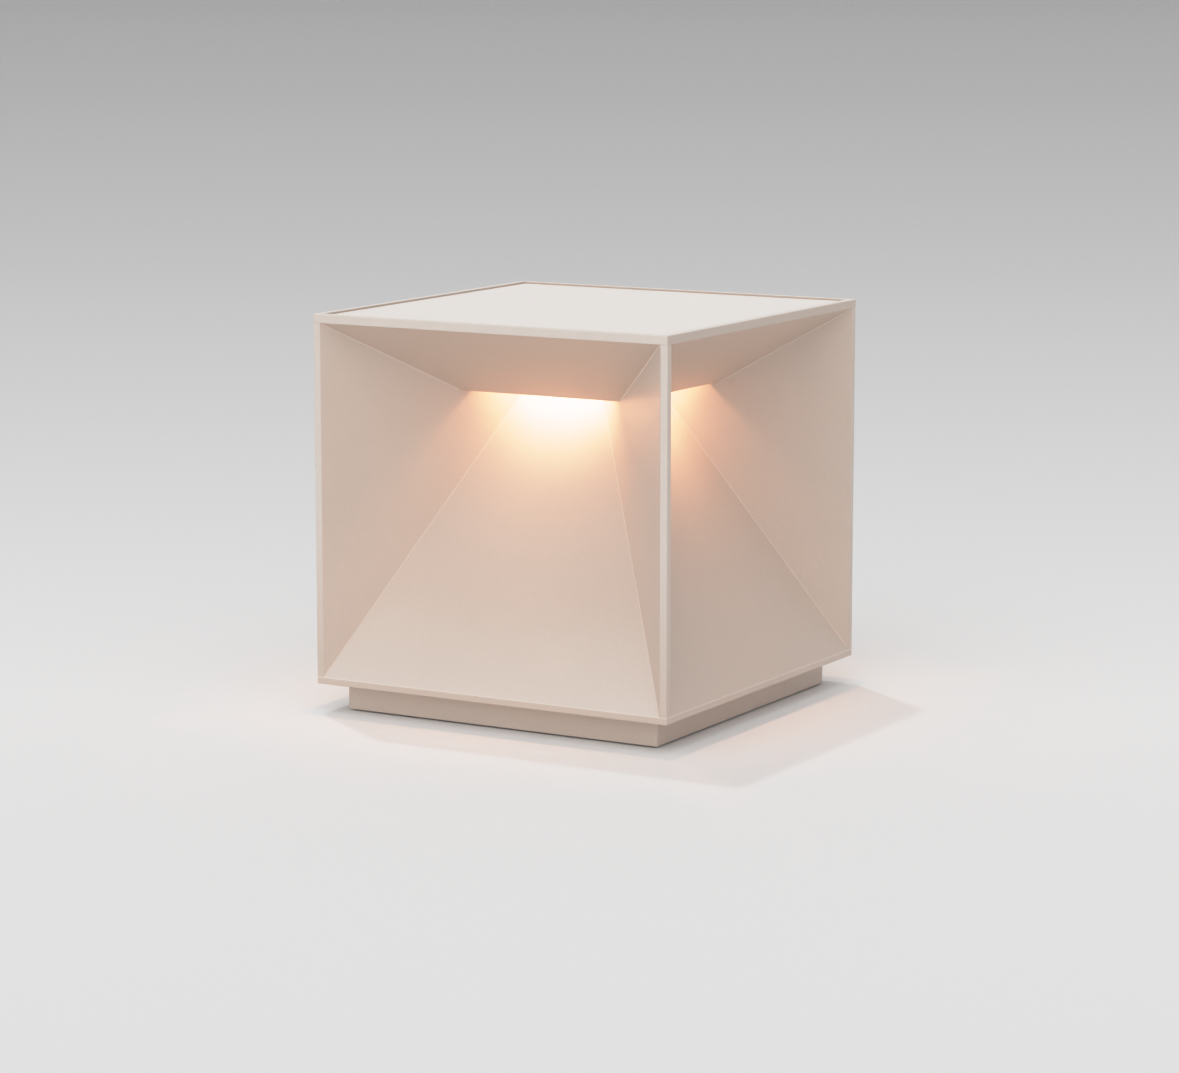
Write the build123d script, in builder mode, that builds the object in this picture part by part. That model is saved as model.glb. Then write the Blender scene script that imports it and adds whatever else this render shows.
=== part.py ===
"""Rechargeable cube table lamp, in millimetres.

X runs to the right and Y to the back as the front is seen, Z is up and zero is the table.
The light body is a tall pyramid under an inverted one, with four fins let into their ridges.
"""

import os
from math import atan, cos, degrees, hypot, sqrt

from build123d import *

os.makedirs("parts", exist_ok=True)

# Outside form
WIDTH = 150.0
HEIGHT = 150.5
FOOT_GAP = 0.6
PLINTH_INSET = 8.3
PLINTH_HEIGHT = 10.3
PLINTH_CORNER = 1.0
PLINTH_ROUND = 0.4
BOTTOM_EDGE = 2.6
TOP_EDGE = 3.2
SIDE_EDGE = 2.8
LIP_WIDTH = 73.8
CANOPY_DEPTH = 30.1
NECK_WIDTH = 38.8
WALL = 2.5
EDGE_ROUND = 0.5
FIN_ROUND = 0.6
LIP_ROUND = 0.4

# Fits between pieces
SLIP = 0.2
LOOSE = 0.3
RUNNING = 0.05
SNUG = 0.03

# Fin tongues
TONGUE_THICKNESS = 1.6
TONGUE_DEPTH = 1.2
TONGUE_SETBACK = 10.0

# Light engine, from the lip upwards
LIP_LAND = 2.9
WELL_DEPTH = 8.0
SEAT_STEP = 1.2
WELL_WALL = 1.3
DIFFUSER_GASKET = 0.6
DIFFUSER = 2.0
SPACER_WALL = 2.0
LED_GAP = 2.0
LED_BOARD = 1.6
LED_INSET = 7.0
LED_PITCH = 8.0
LED_COUNT = 3
LED_LENGTH = 3.5
LED_WIDTH = 2.8
LED_HEIGHT = 0.7
CARRIER = 2.5
CARRIER_LAND = 7.5
CARRIER_CORNER = 4.0
CARRIER_SCREW_DEPTH = 8.0
NECK_CAP = 4.0
NECK_SCREW_AT = 7.5
WIRE_HOLE = 7.0
LED_PLUG_AT = 21.0
LED_PLUG_WIDTH = 8.0
LED_PLUG_LENGTH = 6.0
LED_PLUG_HEIGHT = 4.5
LED_PLUG_MARGIN = 1.5

# Top cover
COVER = 2.0
COVER_STEP = 0.7
COVER_GAP = 0.3
COVER_GASKET = 0.8
COVER_LEDGE = 3.7
COVER_ROUND = 0.3
GASKET_INSET = 0.4
PEG = 5.0
PEG_INSET = 17.2
PEG_SOCKET = 9.0
SOCKET_DROP = 2.0

# Plinth and base
PLINTH_WALL = 2.5
BASE_PLATE = 1.8
BASE_GASKET = 0.6
LEDGE = 2.25
LEDGE_HEIGHT = 1.8
BOSS = 7.0
SOFFIT_LAND = 11.2
SOFFIT_CORNER = 6.0
BODY_SCREW_X = 40.0
BODY_BOSS_HEIGHT = 10.0
FOOT = 12.0
FOOT_RECESS = 0.6
FOOT_INSET = 10.45
FOOT_ROUND = 0.3

# Screws
SCREW = 3.0
SCREW_HEAD = 5.6
PAN_HEIGHT = 2.0
HEX = 2.0
HEX_DEPTH = 1.0
BASE_SCREW_LENGTH = 8.0
BODY_SCREW_LENGTH = 13.0
HEAD_ROOM = 3.0
CRADLE_SCREW = 2.5
CRADLE_SCREW_HEAD = 4.6
CRADLE_SCREW_LENGTH = 5.5
BOARD_SCREW = 2.0
BOARD_SCREW_HEAD = 3.8
BOARD_SCREW_HEIGHT = 1.2
BOARD_SCREW_LENGTH = 3.0

# Port block in the back wall of the plinth
PORT_RISE = 5.7
BLOCK_WIDTH = 60.0
BLOCK_DEPTH = 4.7
POCKET_DEPTH = 2.0
THUMB_NOTCH = 2.0
THUMB_NOTCH_HEIGHT = 3.6
THUMB_NOTCH_OUT = 0.8

# Port flap
FLAP_LENGTH = 17.6
FLAP_HEIGHT = 5.8
FLAP = 1.5
FLAP_BARREL = 2.2
FLAP_PIN = 1.0
PIN_BITE = 1.0
FLAP_SEAL = 0.4
SEAL_INSET = 0.7

# Charging socket
SOCKET_WIDTH = 8.94
SOCKET_HEIGHT = 3.26
SOCKET_LENGTH = 8.6
SOCKET_SHELL = 0.3
SOCKET_BACK = 1.2
SOCKET_TONGUE_WIDTH = 6.7
SOCKET_TONGUE = 0.7
SOCKET_TONGUE_LENGTH = 6.0
SOCKET_TAB = 1.6
SOCKET_TAB_THICKNESS = 0.3
SOCKET_TAB_LENGTH = 2.4

# Push button and switch
BUTTON_X = -20.0
BUTTON = 5.0
BUTTON_PROUD = 0.6
BUTTON_TRAVEL = 0.8
BUTTON_DOME = 0.4
SHOULDER = 6.4
SHOULDER_THICKNESS = 1.2
ORING = 1.0
ORING_GROOVE = 1.1
ORING_LAP = 0.01
PLUNGER = 1.6
PLUNGER_RISE = 1.2
PLUNGER_GRIP = 1.6
SWITCH_WIDTH = 6.0
SWITCH_LENGTH = 4.4
SWITCH_HEIGHT = 3.0
SWITCH_MARGIN = 0.9
BORE_MARGIN = 0.3

# Charge light
PIPE_X = 16.0
PIPE = 2.0

# Control board
BOARD = 1.0
BOARD_WIDTH = 60.0
BOARD_LENGTH = 36.0
BOARD_STAND_OFF = 0.5
EAR = 5.0
EAR_X = 26.0
BOARD_SCREW_INSET = 18.0
PLUG_WIDTH = 7.0
PLUG_LENGTH = 5.0
PLUG_HEIGHT = 4.0
BATTERY_PLUG_X = 17.0
BATTERY_PLUG_INSET = 29.0
LAMP_PLUG_INSET = 21.0
COIL = 7.0
COIL_HEIGHT = 4.0
COIL_ROUND = 1.0
COIL_X = 16.0
COIL_INSET = 12.0
CHIP = 5.0
CHIP_HEIGHT = 1.0
CHIP_X = 6.0
CHIP_INSET = 12.0
CAPACITOR = 6.3
CAPACITOR_HEIGHT = 7.0
CAPACITOR_X = -16.0
CAPACITOR_INSET = 26.0

# Battery
CELL = 18.4
CELL_LENGTH = 65.0
CELL_GAP = 1.0
CELL_NUB = 6.0
CELL_NUB_HEIGHT = 0.8
LINK = 0.4
LINK_WIDTH = 8.0
CRADLE_Y = -14.0
CRADLE_FLOOR = 1.5
CRADLE_WALL = 2.0
CRADLE_HEIGHT = 6.5
CRADLE_SCREW_X = 20.0

# Leads
LEAD = 1.4
LEAD_PITCH = 2.4
LEAD_BEND = 3.0
LEAD_KNEE = 40.0
LEAD_CENTRE_Z = 62.0
BATTERY_LEAD_Z = 27.0
BATTERY_LEAD_STEP = 2.5

# Heights and half widths that follow from the sizes above
HALF = WIDTH / 2
PLINTH_HALF = HALF - PLINTH_INSET
PLINTH_INNER = PLINTH_HALF - PLINTH_WALL
SOFFIT_HALF = PLINTH_INNER - SOFFIT_LAND
WELL_HALF = LIP_WIDTH / 2 - LIP_LAND
SEAT_HALF = WELL_HALF + SEAT_STEP
WELL_OUTER = SEAT_HALF + WELL_WALL
LED_ROW = WELL_HALF - LED_INSET
CARRIER_HALF = WELL_OUTER + CARRIER_LAND
CARRIER_SCREW_AT = WELL_OUTER + BOSS / 2
BASE_Z = FOOT_GAP
PLATE_TOP_Z = BASE_Z + BASE_PLATE
LEDGE_Z = PLATE_TOP_Z + BASE_GASKET
BODY_Z = BASE_Z + PLINTH_HEIGHT
SLOPE_Z = BODY_Z + BOTTOM_EDGE
LIP_Z = HEIGHT - CANOPY_DEPTH
BROW_Z = HEIGHT - TOP_EDGE
SEAT_Z = LIP_Z + WELL_DEPTH
DIFFUSER_Z = SEAT_Z + DIFFUSER_GASKET
SPACER_Z = DIFFUSER_Z + DIFFUSER
LED_BOARD_Z = SPACER_Z + LED_GAP
CARRIER_Z = LED_BOARD_Z + LED_BOARD
CARRIER_TOP_Z = CARRIER_Z + CARRIER
COVER_Z = HEIGHT - COVER_STEP - COVER
COVER_LEDGE_Z = COVER_Z - COVER_GASKET
RIM_INNER = HALF - SIDE_EDGE
COVER_HALF = RIM_INNER - COVER_GAP
CANOPY_OPEN = RIM_INNER - COVER_LEDGE
PEG_AT = RIM_INNER - PEG_INSET
BOSS_AT = PLINTH_INNER - LEDGE - BOSS / 2
FOOT_AT = BOSS_AT - FOOT_INSET
PORT_Z = BASE_Z + PORT_RISE
BLOCK_Y = PLINTH_INNER - BLOCK_DEPTH
POCKET_Y = PLINTH_HALF - POCKET_DEPTH
BOARD_Z = PORT_Z - BOARD / 2
BOARD_TOP_Z = BOARD_Z + BOARD
BOARD_FRONT = BLOCK_Y - BOARD_STAND_OFF
CELL_Z = PLATE_TOP_Z + CRADLE_FLOOR + CELL / 2 + LOOSE
CELL_OFFSET = (CELL + CELL_GAP) / 2

# Slopes of the two pyramids, as run per unit of height, and the skin measured level
LOWER_RUN = (HALF - NECK_WIDTH / 2) / (LIP_Z - SLOPE_Z)
UPPER_RUN = (HALF - LIP_WIDTH / 2) / (BROW_Z - LIP_Z)
LOWER_SKIN = WALL / cos(atan(LOWER_RUN))
UPPER_SKIN = WALL / cos(atan(UPPER_RUN))

UP = (Align.CENTER, Align.CENTER, Align.MIN)
DOWN = (Align.CENTER, Align.CENTER, Align.MAX)
SIGNS = ((-1, -1), (1, -1), (1, 1), (-1, 1))


def lower_half(z):
    """Half width of the tall pyramid at height z."""
    return HALF - (z - SLOPE_Z) * LOWER_RUN


def canopy_z(half):
    """Height of the canopy's underside where its half width is half."""
    return LIP_Z + (half - LIP_WIDTH / 2) / UPPER_RUN


def frustum(wide, narrow, height):
    """Square frustum standing on its wide end."""
    with BuildPart() as block:
        with BuildSketch():
            Rectangle(wide, wide)
        extrude(amount=height, taper=degrees(atan((wide - narrow) / 2 / height)))
    return block.part


def square_ring(outer, inner, z, height):
    """Flat square ring, given by its half widths."""
    with BuildPart() as ring:
        with BuildSketch(Plane.XY.offset(z)):
            Rectangle(2 * outer, 2 * outer)
            Rectangle(2 * inner, 2 * inner, mode=Mode.SUBTRACT)
        extrude(amount=height)
    return ring.part


def corners(at, z):
    """The four points at plus and minus the same distance in X and Y."""
    return [(x * at, y * at, z) for x, y in SIGNS]


def beyond(edges, distance):
    """Those of the edges whose middles lie further out than distance in X or in Y."""
    return [e for e in edges if max(abs(e.center().X), abs(e.center().Y)) > distance]


def tongue(start, end, inward, slack):
    """Strip in the diagonal plane along a ridge from start to end, let in by the tongue's depth."""
    length = hypot(end[0] - start[0], end[1] - start[1])
    along = ((end[0] - start[0]) / length, (end[1] - start[1]) / length)
    into = (along[1] * inward, -along[0] * inward)
    near = TONGUE_SETBACK - slack
    far = length - TONGUE_SETBACK + slack
    depth = TONGUE_DEPTH + slack
    steps = ((near, -TONGUE_DEPTH), (far, -TONGUE_DEPTH), (far, depth), (near, depth))
    points = [
        (start[0] + a * along[0] + b * into[0], start[1] + a * along[1] + b * into[1])
        for a, b in steps
    ]
    with BuildPart() as strip:
        with BuildSketch(DIAGONAL):
            Polygon(*points, align=None)
        extrude(amount=TONGUE_THICKNESS / 2 + slack, both=True)
    return strip.part


def pan_screws(points, shank, head, head_height, length):
    """Pan head screws with hexagon sockets, seated at the points with their shanks downwards."""
    with BuildPart() as group:
        with Locations(*points):
            Cylinder(head / 2, head_height, align=UP)
            Cylinder(shank / 2, length, align=DOWN)
        with BuildSketch(Plane.XY.offset(points[0][2] + head_height)):
            with Locations(*[(x, y) for x, y, z in points]):
                RegularPolygon(shank / SCREW * HEX / sqrt(3), 6)
        extrude(amount=-head_height / 2, mode=Mode.SUBTRACT)
    return group.part


def flush_screws(points, shank, head, length):
    """Countersunk screws with hexagon sockets, heads level with the points and shanks upwards."""
    sink = (head - shank) / 2
    with BuildPart() as group:
        with Locations(*points):
            Cone(head / 2, shank / 2, sink, align=UP)
            Cylinder(shank / 2, length, align=UP)
        with BuildSketch(Plane.XY.offset(points[0][2])):
            with Locations(*[(x, y) for x, y, z in points]):
                RegularPolygon(shank / SCREW * HEX / sqrt(3), 6)
        extrude(amount=HEX_DEPTH, mode=Mode.SUBTRACT)
    return group.part


def lead(points):
    """Round lead along straight runs with rounded bends."""
    with BuildPart() as wire:
        with BuildLine() as route:
            FilletPolyline(*points, radius=LEAD_BEND)
        with BuildSketch(Plane(origin=route.line @ 0, z_dir=route.line % 0)):
            Circle(LEAD / 2)
        sweep()
    return wire.part


def save(part, name):
    """Label a piece and write it."""
    part.label = name
    export_step(part, "parts/" + name + ".step")


# The diagonal plane through the right back corner and the ridges that lie in it
DIAGONAL = Plane(origin=(0, 0, 0), x_dir=(1, 1, 0), z_dir=(1, -1, 0))
LOWER_RIDGE = ((HALF * sqrt(2), SLOPE_Z), (NECK_WIDTH / 2 * sqrt(2), LIP_Z))
UPPER_RIDGE = ((HALF * sqrt(2), BROW_Z), (LIP_WIDTH / 2 * sqrt(2), LIP_Z))

# Solid forms of the two pyramids, used to shape the shells and to trim the fins
lower_pyramid = frustum(WIDTH, 2 * lower_half(CARRIER_Z), CARRIER_Z - SLOPE_Z)
with BuildPart() as lower_form:
    with BuildSketch(Plane.XY.offset(BODY_Z)):
        Rectangle(WIDTH, WIDTH)
    extrude(amount=BOTTOM_EDGE)
    with Locations((0, 0, SLOPE_Z)):
        add(lower_pyramid)

upper_pyramid = frustum(WIDTH, LIP_WIDTH, BROW_Z - LIP_Z)
with BuildPart() as canopy_form:
    with BuildSketch(Plane.XY.offset(BROW_Z)):
        Rectangle(WIDTH, WIDTH)
    extrude(amount=TOP_EDGE)
    with Locations((0, 0, BROW_Z)):
        add(upper_pyramid, rotation=(180, 0, 0))

# The canopy as the fins meet it, open below the diffuser so that they part the light
with BuildPart() as fin_stop:
    add(canopy_form.part)
    with BuildSketch(Plane.XY.offset(LIP_Z)):
        Rectangle(2 * WELL_HALF, 2 * WELL_HALF)
    extrude(amount=DIFFUSER_Z - LOOSE - LIP_Z, mode=Mode.SUBTRACT)

# Lower body: bottom edge, soffit flange, tall pyramid and neck
NECK_ROOF_Z = CARRIER_Z - NECK_CAP
NECK_INSIDE = 2 * (lower_half(NECK_ROOF_Z) - LOWER_SKIN)
BODY_BOSSES = [(x * BODY_SCREW_X, y * BOSS_AT, SLOPE_Z) for x, y in SIGNS]
body_cavity = frustum(WIDTH - 2 * LOWER_SKIN, NECK_INSIDE, NECK_ROOF_Z - SLOPE_Z)
lower_groove = tongue(*LOWER_RIDGE, -1, RUNNING)
with BuildPart() as lower_body:
    add(lower_form.part)
    with Locations((0, 0, SLOPE_Z)):
        add(body_cavity, mode=Mode.SUBTRACT)
    with BuildSketch(Plane.XY.offset(BODY_Z)):
        RectangleRounded(2 * SOFFIT_HALF, 2 * SOFFIT_HALF, SOFFIT_CORNER)
    extrude(amount=BOTTOM_EDGE, mode=Mode.SUBTRACT)
    with Locations(*BODY_BOSSES):
        Cylinder(BOSS / 2, BODY_BOSS_HEIGHT, align=UP)
    with Locations(*[(x, y, BODY_Z) for x, y, z in BODY_BOSSES]):
        Cylinder(
            SCREW / 2 + RUNNING,
            BOTTOM_EDGE + BODY_BOSS_HEIGHT - WALL / 2,
            align=UP,
            mode=Mode.SUBTRACT,
        )
    with Locations(*corners(NECK_SCREW_AT, NECK_ROOF_Z)):
        Cylinder(SCREW / 2 + RUNNING, NECK_CAP, align=UP, mode=Mode.SUBTRACT)
    with Locations((0, 0, NECK_ROOF_Z)):
        Cylinder(WIRE_HOLE / 2, NECK_CAP, align=UP, mode=Mode.SUBTRACT)
    with PolarLocations(0, 4):
        add(lower_groove, mode=Mode.SUBTRACT)
    rim_edges = lower_body.edges().filter_by_position(Axis.Z, BODY_Z, SLOPE_Z)
    fillet(beyond(rim_edges, HALF - EDGE_ROUND), EDGE_ROUND)
save(lower_body.part, "lower_body")

# Canopy: top rim, inverted pyramid and the light well with its lip
CAVITY_TOP_Z = canopy_z(CANOPY_OPEN + UPPER_SKIN)
CAVITY_FLOOR_Z = canopy_z(WELL_OUTER + UPPER_SKIN)
SOCKET_TOP_Z = COVER_LEDGE_Z - SOCKET_DROP
SOCKET_FLOOR_Z = canopy_z(PEG_AT + PEG_SOCKET / 2) + WALL
canopy_cavity = frustum(2 * CANOPY_OPEN, 2 * WELL_OUTER, CAVITY_TOP_Z - CAVITY_FLOOR_Z)
light_well = square_ring(WELL_OUTER, WELL_HALF, LIP_Z, CARRIER_Z - LIP_Z)
upper_groove = tongue(*UPPER_RIDGE, 1, RUNNING)
with BuildPart() as canopy:
    add(canopy_form.part)
    with Locations((0, 0, CAVITY_TOP_Z)):
        add(canopy_cavity, rotation=(180, 0, 0), mode=Mode.SUBTRACT)
    with BuildSketch(Plane.XY.offset(CAVITY_TOP_Z)):
        Rectangle(2 * CANOPY_OPEN, 2 * CANOPY_OPEN)
    extrude(amount=HEIGHT - CAVITY_TOP_Z, mode=Mode.SUBTRACT)
    with BuildSketch(Plane.XY.offset(COVER_LEDGE_Z)):
        Rectangle(2 * RIM_INNER, 2 * RIM_INNER)
    extrude(amount=HEIGHT - COVER_LEDGE_Z, mode=Mode.SUBTRACT)
    with Locations(*corners(CARRIER_SCREW_AT, LIP_Z)):
        Cylinder(BOSS / 2, CARRIER_Z - LIP_Z, align=UP)
    with Locations(*corners(PEG_AT, LIP_Z)):
        Cylinder(PEG_SOCKET / 2, SOCKET_TOP_Z - LIP_Z, align=UP)
    add(light_well)
    add(canopy_form.part, mode=Mode.INTERSECT)
    with BuildSketch(Plane.XY.offset(LIP_Z)):
        Rectangle(2 * WELL_HALF, 2 * WELL_HALF)
    extrude(amount=WELL_DEPTH, mode=Mode.SUBTRACT)
    with BuildSketch(Plane.XY.offset(SEAT_Z)):
        Rectangle(2 * SEAT_HALF, 2 * SEAT_HALF)
    extrude(amount=CARRIER_Z - SEAT_Z, mode=Mode.SUBTRACT)
    with Locations(*corners(CARRIER_SCREW_AT, CARRIER_Z)):
        Cylinder(SCREW / 2 + RUNNING, CARRIER_SCREW_DEPTH, align=DOWN, mode=Mode.SUBTRACT)
    with Locations(*corners(PEG_AT, SOCKET_FLOOR_Z)):
        Cylinder(PEG / 2 + RUNNING, SOCKET_TOP_Z - SOCKET_FLOOR_Z, align=UP, mode=Mode.SUBTRACT)
    with PolarLocations(0, 4):
        add(upper_groove, mode=Mode.SUBTRACT)
    rim_edges = canopy.edges().filter_by_position(Axis.Z, BROW_Z, HEIGHT)
    fillet(beyond(rim_edges, HALF - EDGE_ROUND), EDGE_ROUND)
    lip_edges = canopy.edges().filter_by_position(Axis.Z, LIP_Z - SNUG, LIP_Z + SNUG)
    fillet(beyond(lip_edges, LIP_WIDTH / 2 - EDGE_ROUND), LIP_ROUND)
save(canopy.part, "canopy")

# Fins: diagonal plates with a square outer corner, trimmed by both pyramids
lower_tongue = tongue(*LOWER_RIDGE, -1, 0)
upper_tongue = tongue(*UPPER_RIDGE, 1, 0)
with BuildPart() as fin_form:
    with BuildSketch(Plane.XY.offset(SLOPE_Z)) as fin_outline:
        Polygon(
            (0, SIDE_EDGE),
            (0, 0),
            (SIDE_EDGE, 0),
            (HALF, HALF - SIDE_EDGE),
            (HALF, HALF),
            (HALF - SIDE_EDGE, HALF),
            align=None,
        )
        fillet(fin_outline.vertices().sort_by(lambda v: v.X + v.Y)[-3:-1], FIN_ROUND)
        fillet(fin_outline.vertices().sort_by(lambda v: v.X + v.Y)[-1], EDGE_ROUND)
    extrude(amount=BROW_Z - SLOPE_Z)
    add(lower_form.part, mode=Mode.SUBTRACT)
    add(fin_stop.part, mode=Mode.SUBTRACT)
    add(lower_tongue)
    add(upper_tongue)

FIN_NAMES = ("fin_back_right", "fin_back_left", "fin_front_left", "fin_front_right")
for index, fin_name in enumerate(FIN_NAMES):
    with BuildPart() as fin:
        add(fin_form.part, rotation=(0, 0, 90 * index))
    save(fin.part, fin_name)

# Top cover with four pegs, and its gasket
with BuildPart() as top_cover:
    with BuildSketch(Plane.XY.offset(COVER_Z)):
        Rectangle(2 * COVER_HALF, 2 * COVER_HALF)
    extrude(amount=COVER)
    fillet(top_cover.faces().sort_by(Axis.Z)[-1].edges(), COVER_ROUND)
    with Locations(*corners(PEG_AT, COVER_Z)):
        Cylinder(PEG / 2, COVER_Z - SOCKET_FLOOR_Z - LOOSE, align=DOWN)
save(top_cover.part, "top_cover")

cover_gasket = square_ring(COVER_HALF - GASKET_INSET, CANOPY_OPEN + GASKET_INSET, COVER_LEDGE_Z, COVER_GASKET)
save(cover_gasket, "cover_gasket")

# Light engine
diffuser_gasket = square_ring(SEAT_HALF - SLIP, WELL_HALF, SEAT_Z, DIFFUSER_GASKET)
save(diffuser_gasket, "diffuser_gasket")
diffuser = square_ring(SEAT_HALF - SLIP, lower_half(DIFFUSER_Z) + LOOSE, DIFFUSER_Z, DIFFUSER)
save(diffuser, "diffuser")
diffuser_spacer = square_ring(SEAT_HALF - SLIP, SEAT_HALF - SLIP - SPACER_WALL, SPACER_Z, LED_GAP)
save(diffuser_spacer, "diffuser_spacer")
led_board = square_ring(SEAT_HALF - SLIP, lower_half(LED_BOARD_Z) + LOOSE, LED_BOARD_Z, LED_BOARD)
save(led_board, "led_board")

with BuildPart() as led_chips:
    with PolarLocations(0, 4):
        with Locations((0, -LED_ROW, LED_BOARD_Z)):
            with GridLocations(LED_PITCH, LED_PITCH, LED_COUNT, 1):
                Box(LED_LENGTH, LED_WIDTH, LED_HEIGHT, align=DOWN)
save(led_chips.part, "led_chips")

with BuildPart() as led_carrier:
    with BuildSketch(Plane.XY.offset(CARRIER_Z)):
        RectangleRounded(2 * CARRIER_HALF, 2 * CARRIER_HALF, CARRIER_CORNER)
        Circle(WIRE_HOLE / 2, mode=Mode.SUBTRACT)
        with Locations(*[(x, y) for x, y, z in corners(CARRIER_SCREW_AT, 0) + corners(NECK_SCREW_AT, 0)]):
            Circle(SCREW / 2 + SLIP, mode=Mode.SUBTRACT)
        with Locations((0, LED_PLUG_AT)):
            Rectangle(LED_PLUG_WIDTH - LED_PLUG_MARGIN, LED_PLUG_LENGTH - LED_PLUG_MARGIN, mode=Mode.SUBTRACT)
    extrude(amount=CARRIER)
save(led_carrier.part, "led_carrier")

with BuildPart() as led_connector:
    with Locations((0, LED_PLUG_AT, CARRIER_TOP_Z)):
        Box(LED_PLUG_WIDTH, LED_PLUG_LENGTH, LED_PLUG_HEIGHT, align=UP)
        Box(
            LED_PLUG_WIDTH - LED_PLUG_MARGIN - 2 * SLIP,
            LED_PLUG_LENGTH - LED_PLUG_MARGIN - 2 * SLIP,
            CARRIER,
            align=DOWN,
        )
save(led_connector.part, "led_connector")

# Plinth ring with bosses, gasket ledge and the port block in its back wall
BACK = Plane(origin=(0, PLINTH_HALF, PORT_Z), x_dir=(-1, 0, 0), z_dir=(0, 1, 0))
HINGE_X = FLAP_BARREL / 2 - FLAP_LENGTH / 2
HINGE_Y = PLINTH_HALF - FLAP_BARREL / 2
POCKET_LENGTH = FLAP_LENGTH + 2 * SLIP
POCKET_HEIGHT = FLAP_HEIGHT + 2 * SLIP
PIN_FLOOR_Z = PORT_Z - POCKET_HEIGHT / 2 - PIN_BITE
HEAD_SEAT_Z = PLATE_TOP_Z + HEAD_ROOM
gasket_ledge = square_ring(PLINTH_INNER, PLINTH_INNER - LEDGE, LEDGE_Z, LEDGE_HEIGHT)
with BuildPart() as plinth:
    with BuildSketch(Plane.XY.offset(BASE_Z)):
        RectangleRounded(2 * PLINTH_HALF, 2 * PLINTH_HALF, PLINTH_CORNER)
        Rectangle(2 * PLINTH_INNER, 2 * PLINTH_INNER, mode=Mode.SUBTRACT)
    extrude(amount=PLINTH_HEIGHT)
    add(gasket_ledge)
    with Locations((0, PLINTH_INNER, LEDGE_Z)):
        Box(BLOCK_WIDTH, BLOCK_DEPTH, BODY_Z - LEDGE_Z, align=(Align.CENTER, Align.MAX, Align.MIN))
    with Locations((-EAR_X, BLOCK_Y, LEDGE_Z), (EAR_X, BLOCK_Y, LEDGE_Z)):
        Box(EAR, BOARD_LENGTH, BOARD_Z - LEDGE_Z, align=(Align.CENTER, Align.MAX, Align.MIN))
    with Locations(*corners(BOSS_AT, PLATE_TOP_Z)):
        Cylinder(BOSS / 2, BODY_Z - PLATE_TOP_Z, align=UP)
    for sign_x, sign_y in SIGNS:
        with BuildSketch(Plane.XY.offset(LEDGE_Z)):
            with Locations((sign_x * (BOSS_AT + PLINTH_INNER) / 2, sign_y * (BOSS_AT + PLINTH_INNER) / 2)):
                Rectangle(PLINTH_INNER - BOSS_AT, PLINTH_INNER - BOSS_AT)
        extrude(amount=BODY_Z - LEDGE_Z)
        with BuildSketch(Plane.XY.offset(HEAD_SEAT_Z)):
            with Locations((sign_x * BODY_SCREW_X, sign_y * BOSS_AT)):
                Circle(BOSS / 2)
            with Locations((sign_x * BODY_SCREW_X, sign_y * (BOSS_AT + PLINTH_INNER) / 2)):
                Rectangle(BOSS, PLINTH_INNER - BOSS_AT)
        extrude(amount=BODY_Z - HEAD_SEAT_Z)
    with Locations(*corners(BOSS_AT, PLATE_TOP_Z)):
        Cylinder(SCREW / 2 + RUNNING, BASE_SCREW_LENGTH - WALL / 2, align=UP, mode=Mode.SUBTRACT)
    with Locations(*[(x, y, HEAD_SEAT_Z) for x, y, z in BODY_BOSSES]):
        Cylinder(SCREW / 2 + SLIP, BODY_Z - HEAD_SEAT_Z, align=UP, mode=Mode.SUBTRACT)
        Cylinder(SCREW_HEAD / 2 + SLIP, HEAD_SEAT_Z - LEDGE_Z, align=DOWN, mode=Mode.SUBTRACT)
    # Flap pocket, socket window, button bore and light pipe bore
    with BuildSketch(BACK):
        Rectangle(POCKET_LENGTH, POCKET_HEIGHT)
    extrude(amount=-POCKET_DEPTH, mode=Mode.SUBTRACT)
    with BuildSketch(BACK):
        SlotOverall(SOCKET_WIDTH + 2 * SLIP, SOCKET_HEIGHT + 2 * SLIP)
    extrude(amount=-PLINTH_WALL - BLOCK_DEPTH, mode=Mode.SUBTRACT)
    with BuildSketch(BACK):
        with Locations((-BUTTON_X, 0)):
            Circle(BUTTON / 2 + RUNNING)
        with Locations((-PIPE_X, 0)):
            Circle(PIPE / 2 + SNUG)
    extrude(amount=-PLINTH_WALL - BLOCK_DEPTH, mode=Mode.SUBTRACT)
    with Locations((HINGE_X, HINGE_Y, PORT_Z)):
        Cylinder(FLAP_BARREL / 2 + SLIP, POCKET_HEIGHT, mode=Mode.SUBTRACT)
    with Locations((HINGE_X, HINGE_Y, PIN_FLOOR_Z)):
        Cylinder(FLAP_PIN / 2 + SNUG, BODY_Z - PIN_FLOOR_Z, align=UP, mode=Mode.SUBTRACT)
    with Locations((POCKET_LENGTH / 2 + THUMB_NOTCH_OUT, PLINTH_HALF, PORT_Z)):
        Cylinder(THUMB_NOTCH, THUMB_NOTCH_HEIGHT, mode=Mode.SUBTRACT)
    with Locations(*[(x * EAR_X, BOARD_FRONT - BOARD_SCREW_INSET, BOARD_Z) for x in (-1, 1)]):
        Cylinder(
            BOARD_SCREW / 2 + RUNNING,
            BOARD_SCREW_LENGTH - BOARD + RUNNING,
            align=DOWN,
            mode=Mode.SUBTRACT,
        )
    base_edges = plinth.edges().filter_by_position(Axis.Z, BASE_Z, BASE_Z)
    fillet(beyond(base_edges, PLINTH_HALF - PLINTH_CORNER), PLINTH_ROUND)
save(plinth.part, "plinth")

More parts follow.
